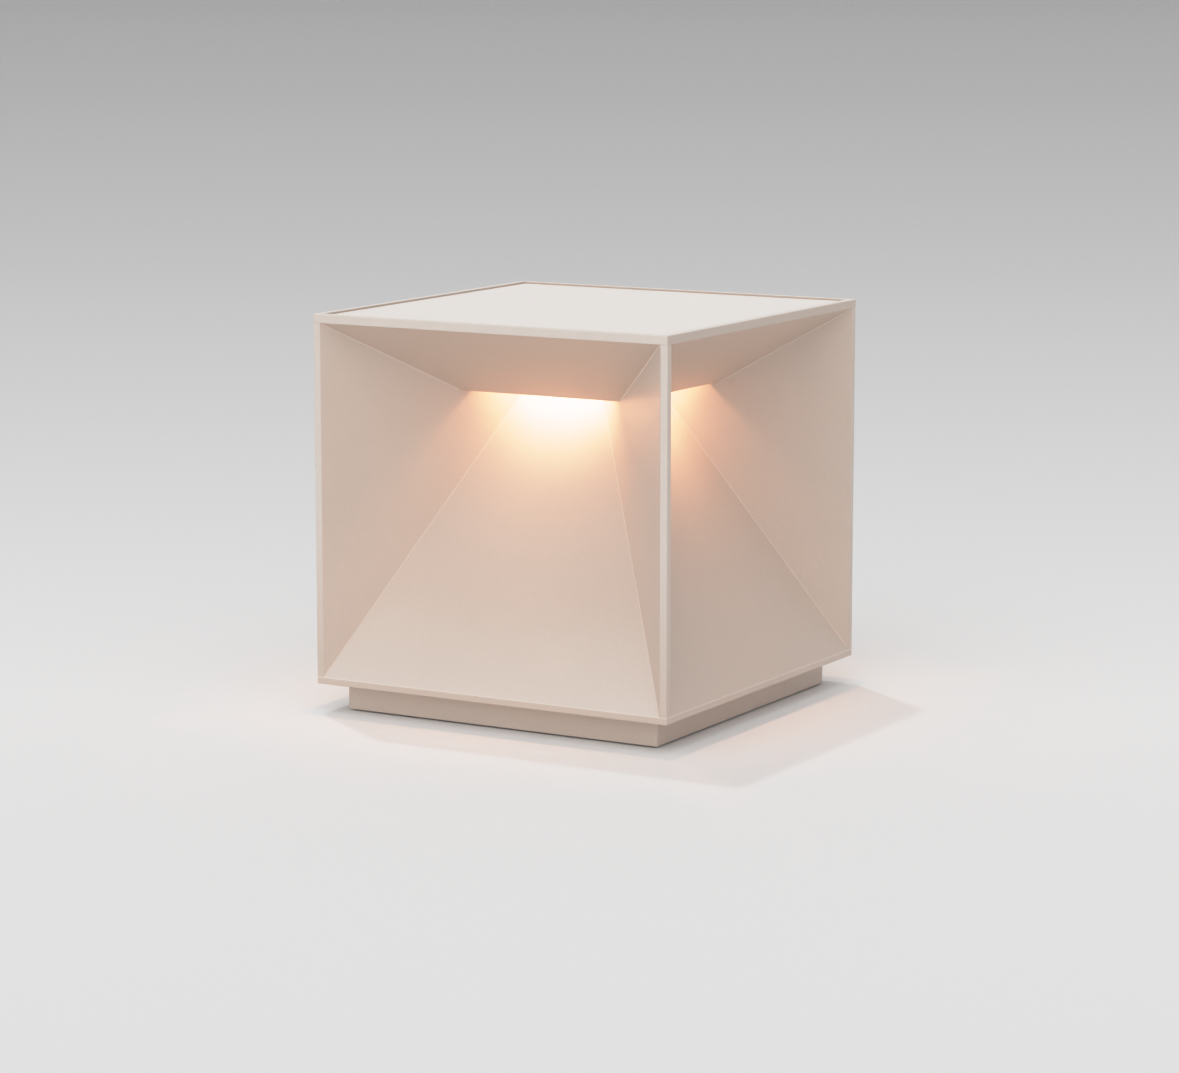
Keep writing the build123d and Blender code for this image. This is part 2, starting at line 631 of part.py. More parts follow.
# Base plate, gasket and feet
with BuildPart() as base_plate:
    with BuildSketch(Plane.XY.offset(BASE_Z)):
        Rectangle(2 * (PLINTH_INNER - SLIP), 2 * (PLINTH_INNER - SLIP))
    extrude(amount=BASE_PLATE)
    with Locations(*[Location(point, (180, 0, 0)) for point in corners(BOSS_AT, BASE_Z)]):
        CounterSinkHole(SCREW / 2 + SLIP, SCREW_HEAD / 2 + SLIP, counter_sink_angle=90)
    with Locations(*[Location((x * CRADLE_SCREW_X, CRADLE_Y, BASE_Z), (180, 0, 0)) for x in (-1, 1)]):
        CounterSinkHole(CRADLE_SCREW / 2 + SLIP, CRADLE_SCREW_HEAD / 2 + SLIP, counter_sink_angle=90)
    with Locations(*corners(FOOT_AT, BASE_Z)):
        Cylinder(FOOT / 2 + SLIP, FOOT_RECESS, align=UP, mode=Mode.SUBTRACT)
save(base_plate.part, "base_plate")

base_gasket = square_ring(PLINTH_INNER - SLIP, PLINTH_INNER - LEDGE + SLIP, PLATE_TOP_Z, BASE_GASKET)
save(base_gasket, "base_gasket")

FOOT_NAMES = ("foot_front_left", "foot_front_right", "foot_back_right", "foot_back_left")
for foot_name, (sign_x, sign_y) in zip(FOOT_NAMES, SIGNS):
    with BuildPart() as foot:
        with Locations((sign_x * FOOT_AT, sign_y * FOOT_AT, 0)):
            Cylinder(FOOT / 2, FOOT_GAP + FOOT_RECESS, align=UP)
        fillet(foot.edges().filter_by(GeomType.CIRCLE).sort_by(Axis.Z)[0], FOOT_ROUND)
    save(foot.part, foot_name)

# Port flap on its vertical pin, with the seal bonded to its inner face
SEAL_START = HINGE_X + FLAP_BARREL / 2 + SEAL_INSET
SEAL_END = FLAP_LENGTH / 2 - SEAL_INSET
with BuildPart() as port_flap:
    with Locations((HINGE_X, PLINTH_HALF, PORT_Z)):
        Box(
            FLAP_LENGTH / 2 - HINGE_X,
            FLAP,
            FLAP_HEIGHT,
            align=(Align.MIN, Align.MAX, Align.CENTER),
        )
    with Locations((HINGE_X, HINGE_Y, PORT_Z)):
        Cylinder(FLAP_BARREL / 2, FLAP_HEIGHT)
        Cylinder(FLAP_PIN / 2 + SNUG, FLAP_HEIGHT, mode=Mode.SUBTRACT)
save(port_flap.part, "port_flap")

with BuildPart() as flap_seal:
    with Locations(((SEAL_START + SEAL_END) / 2, PLINTH_HALF - FLAP, PORT_Z)):
        Box(
            SEAL_END - SEAL_START,
            FLAP_SEAL,
            FLAP_HEIGHT - 2 * SEAL_INSET,
            align=(Align.CENTER, Align.MAX, Align.CENTER),
        )
save(flap_seal.part, "flap_seal")

with BuildPart() as flap_pin:
    with Locations((HINGE_X, HINGE_Y, PIN_FLOOR_Z)):
        Cylinder(FLAP_PIN / 2, BODY_Z - PIN_FLOOR_Z - SLIP, align=UP)
save(flap_pin.part, "flap_pin")

# Push button with its ring, and the switch that it presses
SHOULDER_Y = BLOCK_Y - RUNNING
PRESS_Y = SHOULDER_Y - SHOULDER_THICKNESS
SWITCH_FRONT = PRESS_Y - BUTTON_TRAVEL - SWITCH_MARGIN
BUTTON_LENGTH = PLINTH_HALF + BUTTON_PROUD - SHOULDER_Y
ORING_Y = (BLOCK_Y + PLINTH_HALF) / 2
ORING_RADIUS = BUTTON / 2 + RUNNING - ORING_LAP - ORING / 2
BUTTON_PLANE = Plane(origin=(BUTTON_X, SHOULDER_Y, PORT_Z), x_dir=(-1, 0, 0), z_dir=(0, 1, 0))
RING_PLANE = BUTTON_PLANE.offset(ORING_Y - SHOULDER_Y)
with BuildPart() as button_cap:
    with BuildSketch(BUTTON_PLANE):
        Circle(BUTTON / 2)
    extrude(amount=BUTTON_LENGTH)
    fillet(button_cap.edges().filter_by(GeomType.CIRCLE).sort_by(Axis.Y)[-1], BUTTON_DOME)
    with BuildSketch(BUTTON_PLANE):
        Circle(SHOULDER / 2)
    extrude(amount=-SHOULDER_THICKNESS)
    with BuildSketch(RING_PLANE):
        Circle(BUTTON / 2)
        Circle(ORING_RADIUS - ORING / 2 - ORING_LAP, mode=Mode.SUBTRACT)
    extrude(amount=ORING_GROOVE / 2, both=True, mode=Mode.SUBTRACT)
save(button_cap.part, "button_cap")

with BuildPart() as button_oring:
    with Locations(RING_PLANE):
        Torus(ORING_RADIUS, ORING / 2)
save(button_oring.part, "button_oring")

PLUNGER_Z = BOARD_TOP_Z + PLUNGER_RISE
PLUNGER_PLANE = Plane(origin=(BUTTON_X, PRESS_Y, PLUNGER_Z), x_dir=(1, 0, 0), z_dir=(0, -1, 0))
with BuildPart() as switch_plunger:
    with BuildSketch(PLUNGER_PLANE):
        Circle(PLUNGER / 2)
    extrude(amount=PRESS_Y - SWITCH_FRONT + PLUNGER_GRIP)
save(switch_plunger.part, "switch_plunger")

with BuildPart() as switch_body:
    with Locations((BUTTON_X, SWITCH_FRONT, BOARD_TOP_Z)):
        Box(SWITCH_WIDTH, SWITCH_LENGTH, SWITCH_HEIGHT, align=(Align.CENTER, Align.MAX, Align.MIN))
    with BuildSketch(PLUNGER_PLANE):
        Circle(PLUNGER / 2 + RUNNING)
    extrude(
        amount=PRESS_Y - SWITCH_FRONT + PLUNGER_GRIP + BUTTON_TRAVEL + BORE_MARGIN,
        mode=Mode.SUBTRACT,
    )
save(switch_body.part, "switch_body")

# Charge light pipe through the back wall
with BuildPart() as charge_light_pipe:
    with BuildSketch(BACK):
        with Locations((-PIPE_X, 0)):
            Circle(PIPE / 2)
    extrude(amount=-PLINTH_WALL - BLOCK_DEPTH - LOOSE)
save(charge_light_pipe.part, "charge_light_pipe")

# Control board with notches for the socket and the button
BOARD_BACK = BOARD_FRONT - BOARD_LENGTH
SOCKET_REAR = POCKET_Y - SOCKET_LENGTH
BOARD_SCREWS = [(x * EAR_X, BOARD_FRONT - BOARD_SCREW_INSET, BOARD_TOP_Z) for x in (-1, 1)]
with BuildPart() as control_board:
    with BuildSketch(Plane.XY.offset(BOARD_Z)):
        with Locations((0, (BOARD_FRONT + BOARD_BACK) / 2)):
            Rectangle(BOARD_WIDTH, BOARD_LENGTH)
        with Locations((0, BOARD_FRONT)):
            Rectangle(
                SOCKET_WIDTH + 2 * SLIP,
                2 * (BOARD_FRONT - SOCKET_REAR + SLIP),
                mode=Mode.SUBTRACT,
            )
        with Locations((BUTTON_X, BOARD_FRONT)):
            Rectangle(
                SHOULDER + 2 * BORE_MARGIN,
                2 * (BOARD_FRONT - PRESS_Y + BUTTON_TRAVEL + BORE_MARGIN),
                mode=Mode.SUBTRACT,
            )
        with Locations(*[(x, y) for x, y, z in BOARD_SCREWS]):
            Circle(BOARD_SCREW / 2 + SLIP, mode=Mode.SUBTRACT)
    extrude(amount=BOARD)
save(control_board.part, "control_board")

with BuildPart() as board_parts:
    with Locations((COIL_X, BOARD_FRONT - COIL_INSET, BOARD_TOP_Z)):
        Box(COIL, COIL, COIL_HEIGHT, align=UP)
    fillet(board_parts.edges().filter_by(Axis.Z), COIL_ROUND)
    with Locations((CHIP_X, BOARD_FRONT - CHIP_INSET, BOARD_TOP_Z)):
        Box(CHIP, CHIP, CHIP_HEIGHT, align=UP)
    with Locations((CAPACITOR_X, BOARD_FRONT - CAPACITOR_INSET, BOARD_TOP_Z)):
        Cylinder(CAPACITOR / 2, CAPACITOR_HEIGHT, align=UP)
save(board_parts.part, "board_parts")

with BuildPart() as board_connectors:
    with Locations(
        (BATTERY_PLUG_X, BOARD_FRONT - BATTERY_PLUG_INSET, BOARD_TOP_Z),
        (0, BOARD_FRONT - LAMP_PLUG_INSET, BOARD_TOP_Z),
    ):
        Box(PLUG_WIDTH, PLUG_LENGTH, PLUG_HEIGHT, align=UP)
save(board_connectors.part, "board_connectors")

# Charging socket: metal shell with its contact tongue, let into the board's edge
MOUTH = Plane(origin=(0, POCKET_Y, PORT_Z), x_dir=(-1, 0, 0), z_dir=(0, 1, 0))
with BuildPart() as usb_socket:
    with BuildSketch(MOUTH):
        SlotOverall(SOCKET_WIDTH, SOCKET_HEIGHT)
    extrude(amount=-SOCKET_LENGTH)
    with BuildSketch(MOUTH):
        SlotOverall(SOCKET_WIDTH - 2 * SOCKET_SHELL, SOCKET_HEIGHT - 2 * SOCKET_SHELL)
    extrude(amount=SOCKET_BACK - SOCKET_LENGTH, mode=Mode.SUBTRACT)
    with BuildSketch(MOUTH.offset(SOCKET_BACK - SOCKET_LENGTH)):
        Rectangle(SOCKET_TONGUE_WIDTH, SOCKET_TONGUE)
    extrude(amount=SOCKET_TONGUE_LENGTH)
    for side in (-1, 1):
        with Locations((side * SOCKET_WIDTH / 2, SOCKET_REAR, BOARD_TOP_Z)):
            Box(
                2 * SOCKET_TAB,
                SOCKET_TAB_LENGTH,
                SOCKET_TAB_THICKNESS,
                align=(Align.CENTER, Align.MIN, Align.MIN),
            )
    with BuildSketch(MOUTH):
        SlotOverall(SOCKET_WIDTH - 2 * SOCKET_SHELL, SOCKET_HEIGHT - 2 * SOCKET_SHELL)
        Rectangle(SOCKET_TONGUE_WIDTH, SOCKET_TONGUE, mode=Mode.SUBTRACT)
    extrude(amount=SOCKET_BACK - SOCKET_LENGTH, mode=Mode.SUBTRACT)
save(usb_socket.part, "usb_socket")

# Battery: two cells side by side in a moulded cradle, linked at both ends
CRADLE_LENGTH = CELL_LENGTH + 2 * (CELL_NUB_HEIGHT + LINK + LOOSE)
CELL_PLANE = Plane(origin=(0, CRADLE_Y, CELL_Z), x_dir=(0, 1, 0), z_dir=(1, 0, 0))
with BuildPart() as battery_cradle:
    with Locations((0, CRADLE_Y, PLATE_TOP_Z)):
        Box(
            CRADLE_LENGTH + 2 * CRADLE_WALL,
            2 * (CELL_OFFSET + CELL / 2 + CRADLE_WALL),
            CRADLE_HEIGHT,
            align=UP,
        )
    with BuildSketch(CELL_PLANE):
        with Locations((-CELL_OFFSET, 0), (CELL_OFFSET, 0)):
            Circle(CELL / 2 + LOOSE)
    extrude(amount=CRADLE_LENGTH / 2, both=True, mode=Mode.SUBTRACT)
    with Locations(*[(x * CRADLE_SCREW_X, CRADLE_Y, PLATE_TOP_Z) for x in (-1, 1)]):
        Cylinder(
            CRADLE_SCREW / 2 + RUNNING,
            CRADLE_SCREW_LENGTH - BASE_PLATE + RUNNING,
            align=UP,
            mode=Mode.SUBTRACT,
        )
save(battery_cradle.part, "battery_cradle")

for cell_name, side in (("battery_cell_front", -1), ("battery_cell_back", 1)):
    with BuildPart() as cell:
        with BuildSketch(CELL_PLANE):
            with Locations((side * CELL_OFFSET, 0)):
                Circle(CELL / 2)
        extrude(amount=CELL_LENGTH / 2, both=True)
        with BuildSketch(CELL_PLANE.offset(CELL_LENGTH / 2)):
            with Locations((side * CELL_OFFSET, 0)):
                Circle(CELL_NUB / 2)
        extrude(amount=CELL_NUB_HEIGHT)
    save(cell.part, cell_name)

LINK_LENGTH = 2 * CELL_OFFSET + LINK_WIDTH
with BuildPart() as cell_links:
    with Locations((CELL_LENGTH / 2 + CELL_NUB_HEIGHT, CRADLE_Y, CELL_Z)):
        Box(LINK, LINK_LENGTH, LINK_WIDTH, align=(Align.MIN, Align.CENTER, Align.CENTER))
    with Locations((-CELL_LENGTH / 2, CRADLE_Y, CELL_Z)):
        Box(LINK, LINK_LENGTH, LINK_WIDTH, align=(Align.MAX, Align.CENTER, Align.CENTER))
save(cell_links.part, "cell_links")

# Leads inside the body
BATTERY_PLUG_Y = BOARD_FRONT - BATTERY_PLUG_INSET
LAMP_PLUG_Y = BOARD_FRONT - LAMP_PLUG_INSET
PLUG_TOP_Z = BOARD_TOP_Z + PLUG_HEIGHT
LINK_TOP_Z = CELL_Z + LINK_WIDTH / 2
POSITIVE_X = CELL_LENGTH / 2 + CELL_NUB_HEIGHT + LINK / 2
NEGATIVE_X = -CELL_LENGTH / 2 - LINK / 2
UPPER_LEAD_Z = BATTERY_LEAD_Z + BATTERY_LEAD_STEP
LEAD_OFFSET = LEAD_PITCH / 2
positive_lead = lead(
    [
        (POSITIVE_X, CRADLE_Y, LINK_TOP_Z),
        (POSITIVE_X, CRADLE_Y, BATTERY_LEAD_Z),
        (POSITIVE_X, BATTERY_PLUG_Y, BATTERY_LEAD_Z),
        (BATTERY_PLUG_X + LEAD_OFFSET, BATTERY_PLUG_Y, BATTERY_LEAD_Z),
        (BATTERY_PLUG_X + LEAD_OFFSET, BATTERY_PLUG_Y, PLUG_TOP_Z),
    ]
)
negative_lead = lead(
    [
        (NEGATIVE_X, CRADLE_Y, LINK_TOP_Z),
        (NEGATIVE_X, CRADLE_Y, UPPER_LEAD_Z),
        (NEGATIVE_X, BATTERY_PLUG_Y, UPPER_LEAD_Z),
        (BATTERY_PLUG_X - LEAD_OFFSET, BATTERY_PLUG_Y, UPPER_LEAD_Z),
        (BATTERY_PLUG_X - LEAD_OFFSET, BATTERY_PLUG_Y, PLUG_TOP_Z),
    ]
)
with BuildPart() as battery_leads:
    add(positive_lead)
    add(negative_lead)
save(battery_leads.part, "battery_leads")

LED_LEAD_Z = CARRIER_TOP_Z + LED_PLUG_HEIGHT / 2
led_lead = lead(
    [
        (0, LAMP_PLUG_Y, PLUG_TOP_Z),
        (0, LAMP_PLUG_Y, LEAD_KNEE),
        (0, 0, LEAD_CENTRE_Z),
        (0, 0, LED_LEAD_Z),
        (0, LED_PLUG_AT - LED_PLUG_LENGTH / 2, LED_LEAD_Z),
    ]
)
with BuildPart() as led_leads:
    with Locations((-LEAD_OFFSET, 0, 0), (LEAD_OFFSET, 0, 0)):
        add(led_lead)
save(led_leads.part, "led_leads")

# Fasteners
save(flush_screws(corners(BOSS_AT, BASE_Z), SCREW, SCREW_HEAD, BASE_SCREW_LENGTH), "base_screws")
cradle_points = [(x * CRADLE_SCREW_X, CRADLE_Y, BASE_Z) for x in (-1, 1)]
save(flush_screws(cradle_points, CRADLE_SCREW, CRADLE_SCREW_HEAD, CRADLE_SCREW_LENGTH), "cradle_screws")
carrier_points = corners(CARRIER_SCREW_AT, CARRIER_TOP_Z)
carrier_length = CARRIER + CARRIER_SCREW_DEPTH - RUNNING
save(pan_screws(carrier_points, SCREW, SCREW_HEAD, PAN_HEIGHT, carrier_length), "carrier_screws")
neck_points = corners(NECK_SCREW_AT, CARRIER_TOP_Z)
save(pan_screws(neck_points, SCREW, SCREW_HEAD, PAN_HEIGHT, CARRIER + NECK_CAP), "neck_screws")
save(
    pan_screws(BOARD_SCREWS, BOARD_SCREW, BOARD_SCREW_HEAD, BOARD_SCREW_HEIGHT, BOARD_SCREW_LENGTH),
    "board_screws",
)

with BuildPart() as plinth_screws:
    with Locations(*[(x, y, HEAD_SEAT_Z) for x, y, z in BODY_BOSSES]):
        Cylinder(SCREW_HEAD / 2, PAN_HEIGHT, align=DOWN)
        Cylinder(SCREW / 2, BODY_SCREW_LENGTH, align=UP)
    with BuildSketch(Plane.XY.offset(HEAD_SEAT_Z - PAN_HEIGHT)):
        with Locations(*[(x, y) for x, y, z in BODY_BOSSES]):
            RegularPolygon(HEX / sqrt(3), 6)
    extrude(amount=HEX_DEPTH, mode=Mode.SUBTRACT)
save(plinth_screws.part, "plinth_screws")
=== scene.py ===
"""Rechargeable cube table lamp: finishes, seams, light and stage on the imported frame.

All lengths are metres in the part's own frame: X to the right, Y to the back, Z up from the table.
"""

import logging
import math
from dataclasses import dataclass
from enum import Enum
from typing import Any, Mapping, Sequence

import bmesh
import bpy
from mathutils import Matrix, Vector


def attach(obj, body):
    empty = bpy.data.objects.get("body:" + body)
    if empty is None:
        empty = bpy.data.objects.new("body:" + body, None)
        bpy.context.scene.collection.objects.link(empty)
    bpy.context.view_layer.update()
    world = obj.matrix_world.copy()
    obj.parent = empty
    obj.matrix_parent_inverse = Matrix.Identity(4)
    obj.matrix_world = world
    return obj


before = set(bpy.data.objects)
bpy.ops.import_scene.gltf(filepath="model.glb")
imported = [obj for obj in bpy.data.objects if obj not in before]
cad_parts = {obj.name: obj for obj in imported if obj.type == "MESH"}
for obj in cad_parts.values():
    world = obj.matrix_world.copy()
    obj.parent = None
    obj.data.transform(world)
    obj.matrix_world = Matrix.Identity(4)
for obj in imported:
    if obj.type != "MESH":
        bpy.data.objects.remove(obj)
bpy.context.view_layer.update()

LOG = logging.getLogger("cube_lamp")
Colour = tuple[float, float, float]
Point = tuple[float, float, float]
Sockets = Mapping[str | int, Any]
MM = 0.001
SIDES = 4
QUARTER_TURN = math.pi / 2


class Body(Enum):
    """The bodies that the added pieces ride on."""

    LAMP = "lamp"
    FLAP = "flap"


class Slot(Enum):
    """The record's material slots."""

    PAINT = "sand_paint"
    PLASTIC = "sand_plastic"
    STEEL = "steel"


class Channel(Enum):
    """Places of the tone curves in a curve mapping."""

    GREEN = 1
    ALL = 3


class Wire:
    """One output of a node, with operators that add Math nodes to its tree."""

    def __init__(self, graph: "Graph", node: bpy.types.Node, output: str | int = 0) -> None:
        """Start a wire at a node.

        Args:
            graph: The tree that the node is in.
            node: The node.
            output: The output's name or place. A node without outputs leaves the wire open.
        """
        self.graph = graph
        self.node = node
        self.socket = node.outputs[output] if node.outputs else None

    def out(self, output: str | int) -> "Wire":
        """Another output of the same node."""
        return Wire(self.graph, self.node, output)

    def __add__(self, other: "Wire | float") -> "Wire":
        """Sum."""
        return self.graph.math("ADD", self, other)

    __radd__ = __add__

    def __sub__(self, other: "Wire | float") -> "Wire":
        """Difference."""
        return self.graph.math("SUBTRACT", self, other)

    def __rsub__(self, other: float) -> "Wire":
        """Difference from a number."""
        return self.graph.math("SUBTRACT", other, self)

    def __mul__(self, other: "Wire | float") -> "Wire":
        """Product."""
        return self.graph.math("MULTIPLY", self, other)

    __rmul__ = __mul__

    def __truediv__(self, other: "Wire | float") -> "Wire":
        """Quotient."""
        return self.graph.math("DIVIDE", self, other)

    def __rtruediv__(self, other: float) -> "Wire":
        """A number divided by the wire."""
        return self.graph.math("DIVIDE", other, self)

    def __pow__(self, other: "Wire | float") -> "Wire":
        """Power."""
        return self.graph.math("POWER", self, other)

    def __abs__(self) -> "Wire":
        """Size without its sign."""
        return self.graph.math("ABSOLUTE", self)

    def __lt__(self, other: "Wire | float") -> "Wire":
        """One where the wire is the smaller, else zero."""
        return self.graph.math("LESS_THAN", self, other)

    def __gt__(self, other: "Wire | float") -> "Wire":
        """One where the wire is the larger, else zero."""
        return self.graph.math("GREATER_THAN", self, other)


class Graph:
    """A node tree that is written as Python expressions."""

    def __init__(self, tree: bpy.types.NodeTree) -> None:
        """Work on an existing tree."""
        self.tree = tree

    def node(
        self,
        kind: str,
        settings: Mapping[str, Any] | None = None,
        sockets: Sockets | None = None,
    ) -> Wire:
        """Add a node.

        Args:
            kind: Blender's name for the node type.
            settings: Properties of the node, set before its sockets; "stops" fills a colour ramp.
            sockets: Values or wires for the inputs, by name or place.

        Returns:
            A wire from the node's first output.
        """
        made = self.tree.nodes.new(kind)
        for name, value in (settings or {}).items():
            if name == "stops":
                self.fill_ramp(made.color_ramp, value)
            else:
                setattr(made, name, value)
        for name, value in (sockets or {}).items():
            if isinstance(value, Wire):
                self.tree.links.new(value.socket, made.inputs[name])
            else:
                made.inputs[name].default_value = value
        return Wire(self, made)

    @staticmethod
    def fill_ramp(ramp: bpy.types.ColorRamp, stops: Sequence[tuple[float, Colour]]) -> None:
        """Give a colour ramp its stops.

        Args:
            ramp: The ramp of a new node.
            stops: Places from 0 to 1 with their colours, in rising order.
        """
        while len(ramp.elements) < len(stops):
            ramp.elements.new(1.0)
        for element, (place, colour) in zip(ramp.elements, stops):
            element.position = place
            element.color = (*colour, 1.0)

    def math(self, operation: str, *values: "Wire | float") -> Wire:
        """Add a Math node for an operation on one or two values."""
        return self.node("ShaderNodeMath", {"operation": operation}, dict(enumerate(values)))

    def larger(self, first: Wire, second: "Wire | float") -> Wire:
        """The larger of two values."""
        return self.math("MAXIMUM", first, second)

    def split(self, vector: Wire) -> tuple[Wire, Wire, Wire]:
        """The three parts of a vector."""
        parts = self.node("ShaderNodeSeparateXYZ", sockets={0: vector})
        return parts, parts.out(1), parts.out(2)

    def join(self, x: "Wire | float", y: "Wire | float", z: "Wire | float") -> Wire:
        """A vector from its three parts."""
        return self.node("ShaderNodeCombineXYZ", sockets={0: x, 1: y, 2: z})


class Paint(Graph):
    """A material's tree, with the textures that the finishes share."""

    def __init__(self, name: str) -> None:
        """Start an empty material.

        Args:
            name: The material's name.
        """
        self.material = bpy.data.materials.new(name)
        self.material.use_nodes = True
        super().__init__(self.material.node_tree)
        self.tree.nodes.clear()
        self.place = self.node("ShaderNodeTexCoord").out("Object")

    def noise(self, size: float, detail: float = 2.0, stretch: Point | None = None) -> Wire:
        """Soft noise.

        Args:
            size: Distance from one bump to the next, in metres.
            detail: Number of finer layers.
            stretch: How much longer the bumps are along each axis.

        Returns:
            A wire that runs from 0 to 1 about a middle of one half.
        """
        at = self.place
        if stretch:
            at = self.node("ShaderNodeVectorMath", {"operation": "DIVIDE"}, {0: at, 1: stretch})
        sockets = {"Vector": at, "Scale": 1.0 / size, "Detail": detail}
        return self.node("ShaderNodeTexNoise", {"noise_dimensions": "3D"}, sockets)

    @staticmethod
    def sway(noise: Wire, share: float) -> Wire:
        """A noise's swing about zero, from minus to plus half the share."""
        return (noise - 0.5) * share

    def cells(self, size: float) -> Wire:
        """Distance to the nearest of scattered points that lie about size apart."""
        sockets = {"Vector": self.place, "Scale": 1.0 / size}
        return self.node("ShaderNodeTexVoronoi", {"feature": "F1"}, sockets)

    def blend(self, share: "Wire | float", low: "Wire | Colour", high: "Wire | Colour") -> Wire:
        """A colour between two others.

        Args:
            share: How far the colour is from the low one towards the high one.
            low: The colour at a share of 0.
            high: The colour at a share of 1.

        Returns:
            The colour.
        """
        # A Mix node has its two colours at inputs 6 and 7, and the mixed colour at output 2.
        ends = {6: low, 7: high}
        ends = {place: end if isinstance(end, Wire) else (*end, 1.0) for place, end in ends.items()}
        return self.node("ShaderNodeMix", {"data_type": "RGBA"}, {0: share, **ends}).out(2)

    def shaded(self, colour: "Wire | Colour", tone: Wire) -> Wire:
        """A colour made lighter or darker by a tone about one."""
        return self.node("ShaderNodeVectorMath", {"operation": "SCALE"}, {0: colour, "Scale": tone})

    def limit(self, value: Wire) -> Wire:
        """A value kept between zero and one."""
        return self.node("ShaderNodeClamp", sockets={0: value})

    def bump(self, height: Wire, depth: float) -> Wire:
        """A normal that follows a height from 0 to 1, where 1 stands depth metres proud."""
        sockets = {"Strength": 1.0, "Distance": depth, "Height": height}
        return self.node("ShaderNodeBump", sockets=sockets)

    def surface(self, sockets: Sockets) -> bpy.types.Material:
        """Close the material with a Principled shader.

        Args:
            sockets: Values or wires for the shader's inputs.

        Returns:
            The finished material.
        """
        shader = self.node("ShaderNodeBsdfPrincipled", sockets=sockets)
        self.node("ShaderNodeOutputMaterial", sockets={"Surface": shader})
        return self.material


def toned(colour: Colour, share: float, lift: float = 0.0) -> Colour:
    """A colour with each part times a share plus a lift, and no part over 1."""
    red, green, blue = (min(1.0, part * share + lift) for part in colour)
    return red, green, blue


@dataclass(frozen=True)
class Finish:
    """A finish that can be made into a material of its name."""

    name: str

    def make(self) -> bpy.types.Material:
        """The finish as a material."""
        paint = Paint(self.name)
        return paint.surface(self.sockets(paint))

    def sockets(self, paint: Paint) -> Sockets:
        """What the finish puts into the surface shader; each kind of finish has its own.

        Args:
            paint: The material's tree.

        Returns:
            The shader's inputs.
        """
        raise NotImplementedError(self.name)


@dataclass(frozen=True)
class PowderCoat(Finish):
    """Fine satin powder coat: a pebbled skin with a faint fleck, slow drifts of tone and paler rims.

    The rims carry painted light and sheen: the crown of the cube and its outermost faces are
    painted paler, more so towards the top and on the front and back, and a painted highlight runs
    as a faint line along the arris at the foot of the slopes. Where foot_light_share is set, the
    front and back slopes are also painted paler towards their foot, as painted light.
    """

    colour: Colour
    rim: Colour | None = None
    # Colour of the painted highlight along the arris at the foot of the slopes.
    worn: Colour = (0.86, 0.79, 0.73)
    roughness: float = 0.37
    haze: float = 0.1
    haze_roughness: float = 0.5
    pebble: float = 0.45 * MM
    pebble_depth: float = 0.012 * MM
    pebble_height: float = 0.8
    pebble_gloss: float = 0.16
    fleck: float = 0.16 * MM
    fleck_height: float = 0.2
    fleck_share: float = 0.10
    drift: float = 34 * MM
    drift_share: float = 0.07
    drift_gloss: float = 0.08
    # The fields from rim_half to crown_z place the painted light and sheen on the rims.
    rim_half: float = 74.7 * MM
    rim_ramp: float = 0.25 * MM
    rim_light_from: float = 15 * MM
    rim_light_rise: float = 60 * MM
    side_share: float = 0.35
    crown_z: float = 150.2 * MM
    # How much the front and back slopes are painted paler towards their foot, as painted light.
    foot_light_share: float = 0.0
    foot_z: float = 13.5 * MM
    foot_rise: float = 36 * MM
    arris_half: float = 73.9 * MM
    arris_width: float = 0.4 * MM
    arris_share: float = 0.45

    def sockets(self, paint: Paint) -> Sockets:
        """Pebble the coat, fleck it and let its tone drift.

        Args:
            paint: The material's tree.

        Returns:
            The shader's inputs.
        """
        drift = paint.noise(self.drift, detail=3.0)
        fleck = paint.cells(self.fleck).out("Color")
        shade = paint.node("ShaderNodeSeparateColor", sockets={0: fleck})
        pebble = paint.noise(self.pebble)
        tone = paint.sway(drift, self.drift_share) + paint.sway(shade, self.fleck_share) + 1.0
        gloss = paint.sway(pebble, self.pebble_gloss) + paint.sway(drift, self.drift_gloss)
        height = pebble * self.pebble_height + shade * self.fleck_height
        return {
            "Base Color": paint.shaded(self.coat(paint), tone),
            "Roughness": gloss + self.roughness,
            "Normal": paint.bump(height, self.pebble_depth),
            "Sheen Weight": self.haze,
            "Sheen Roughness": self.haze_roughness,
        }

    def coat(self, paint: Paint) -> "Wire | Colour":
        """Lay the plain colour over the piece, with painted light and sheen on its rims where the coat has
        any.

        Args:
            paint: The material's tree.

        Returns:
            The colour before fleck and drift.
        """
        if not self.rim:
            return self.colour
        x, y, z = paint.split(paint.place)
        # Painted light and sheen: outer faces paler on the front and back, less on the sides, rising towards
        # the top, and the crown paler still.
        front = paint.limit((abs(y) - self.rim_half) / self.rim_ramp)
        side = paint.limit((abs(x) - self.rim_half) / self.rim_ramp) * self.side_share
        high = paint.limit((z - self.rim_light_from) / self.rim_light_rise)
        crown = paint.limit((z - self.crown_z) / self.rim_ramp)
        share = paint.larger(paint.larger(front, side) * high, crown)
        # Painted light: the front and back slopes are painted paler towards their foot.
        if self.foot_light_share:
            low = paint.limit(1.0 - (z - self.foot_z) / self.foot_rise) * (z > self.foot_z)
            share = paint.larger(share, low * (abs(y) > abs(x)) * self.foot_light_share)
        coat = paint.blend(share, self.colour, self.rim)
        # Painted highlight: a faint pale line along the outer arris at the foot of the slopes.
        outer = paint.limit((paint.larger(abs(x), abs(y)) - self.arris_half) / self.rim_ramp)
        line = paint.limit(1.0 - abs(z - self.foot_z) / self.arris_width)
        return paint.blend(line * outer * self.arris_share, coat, self.worn)


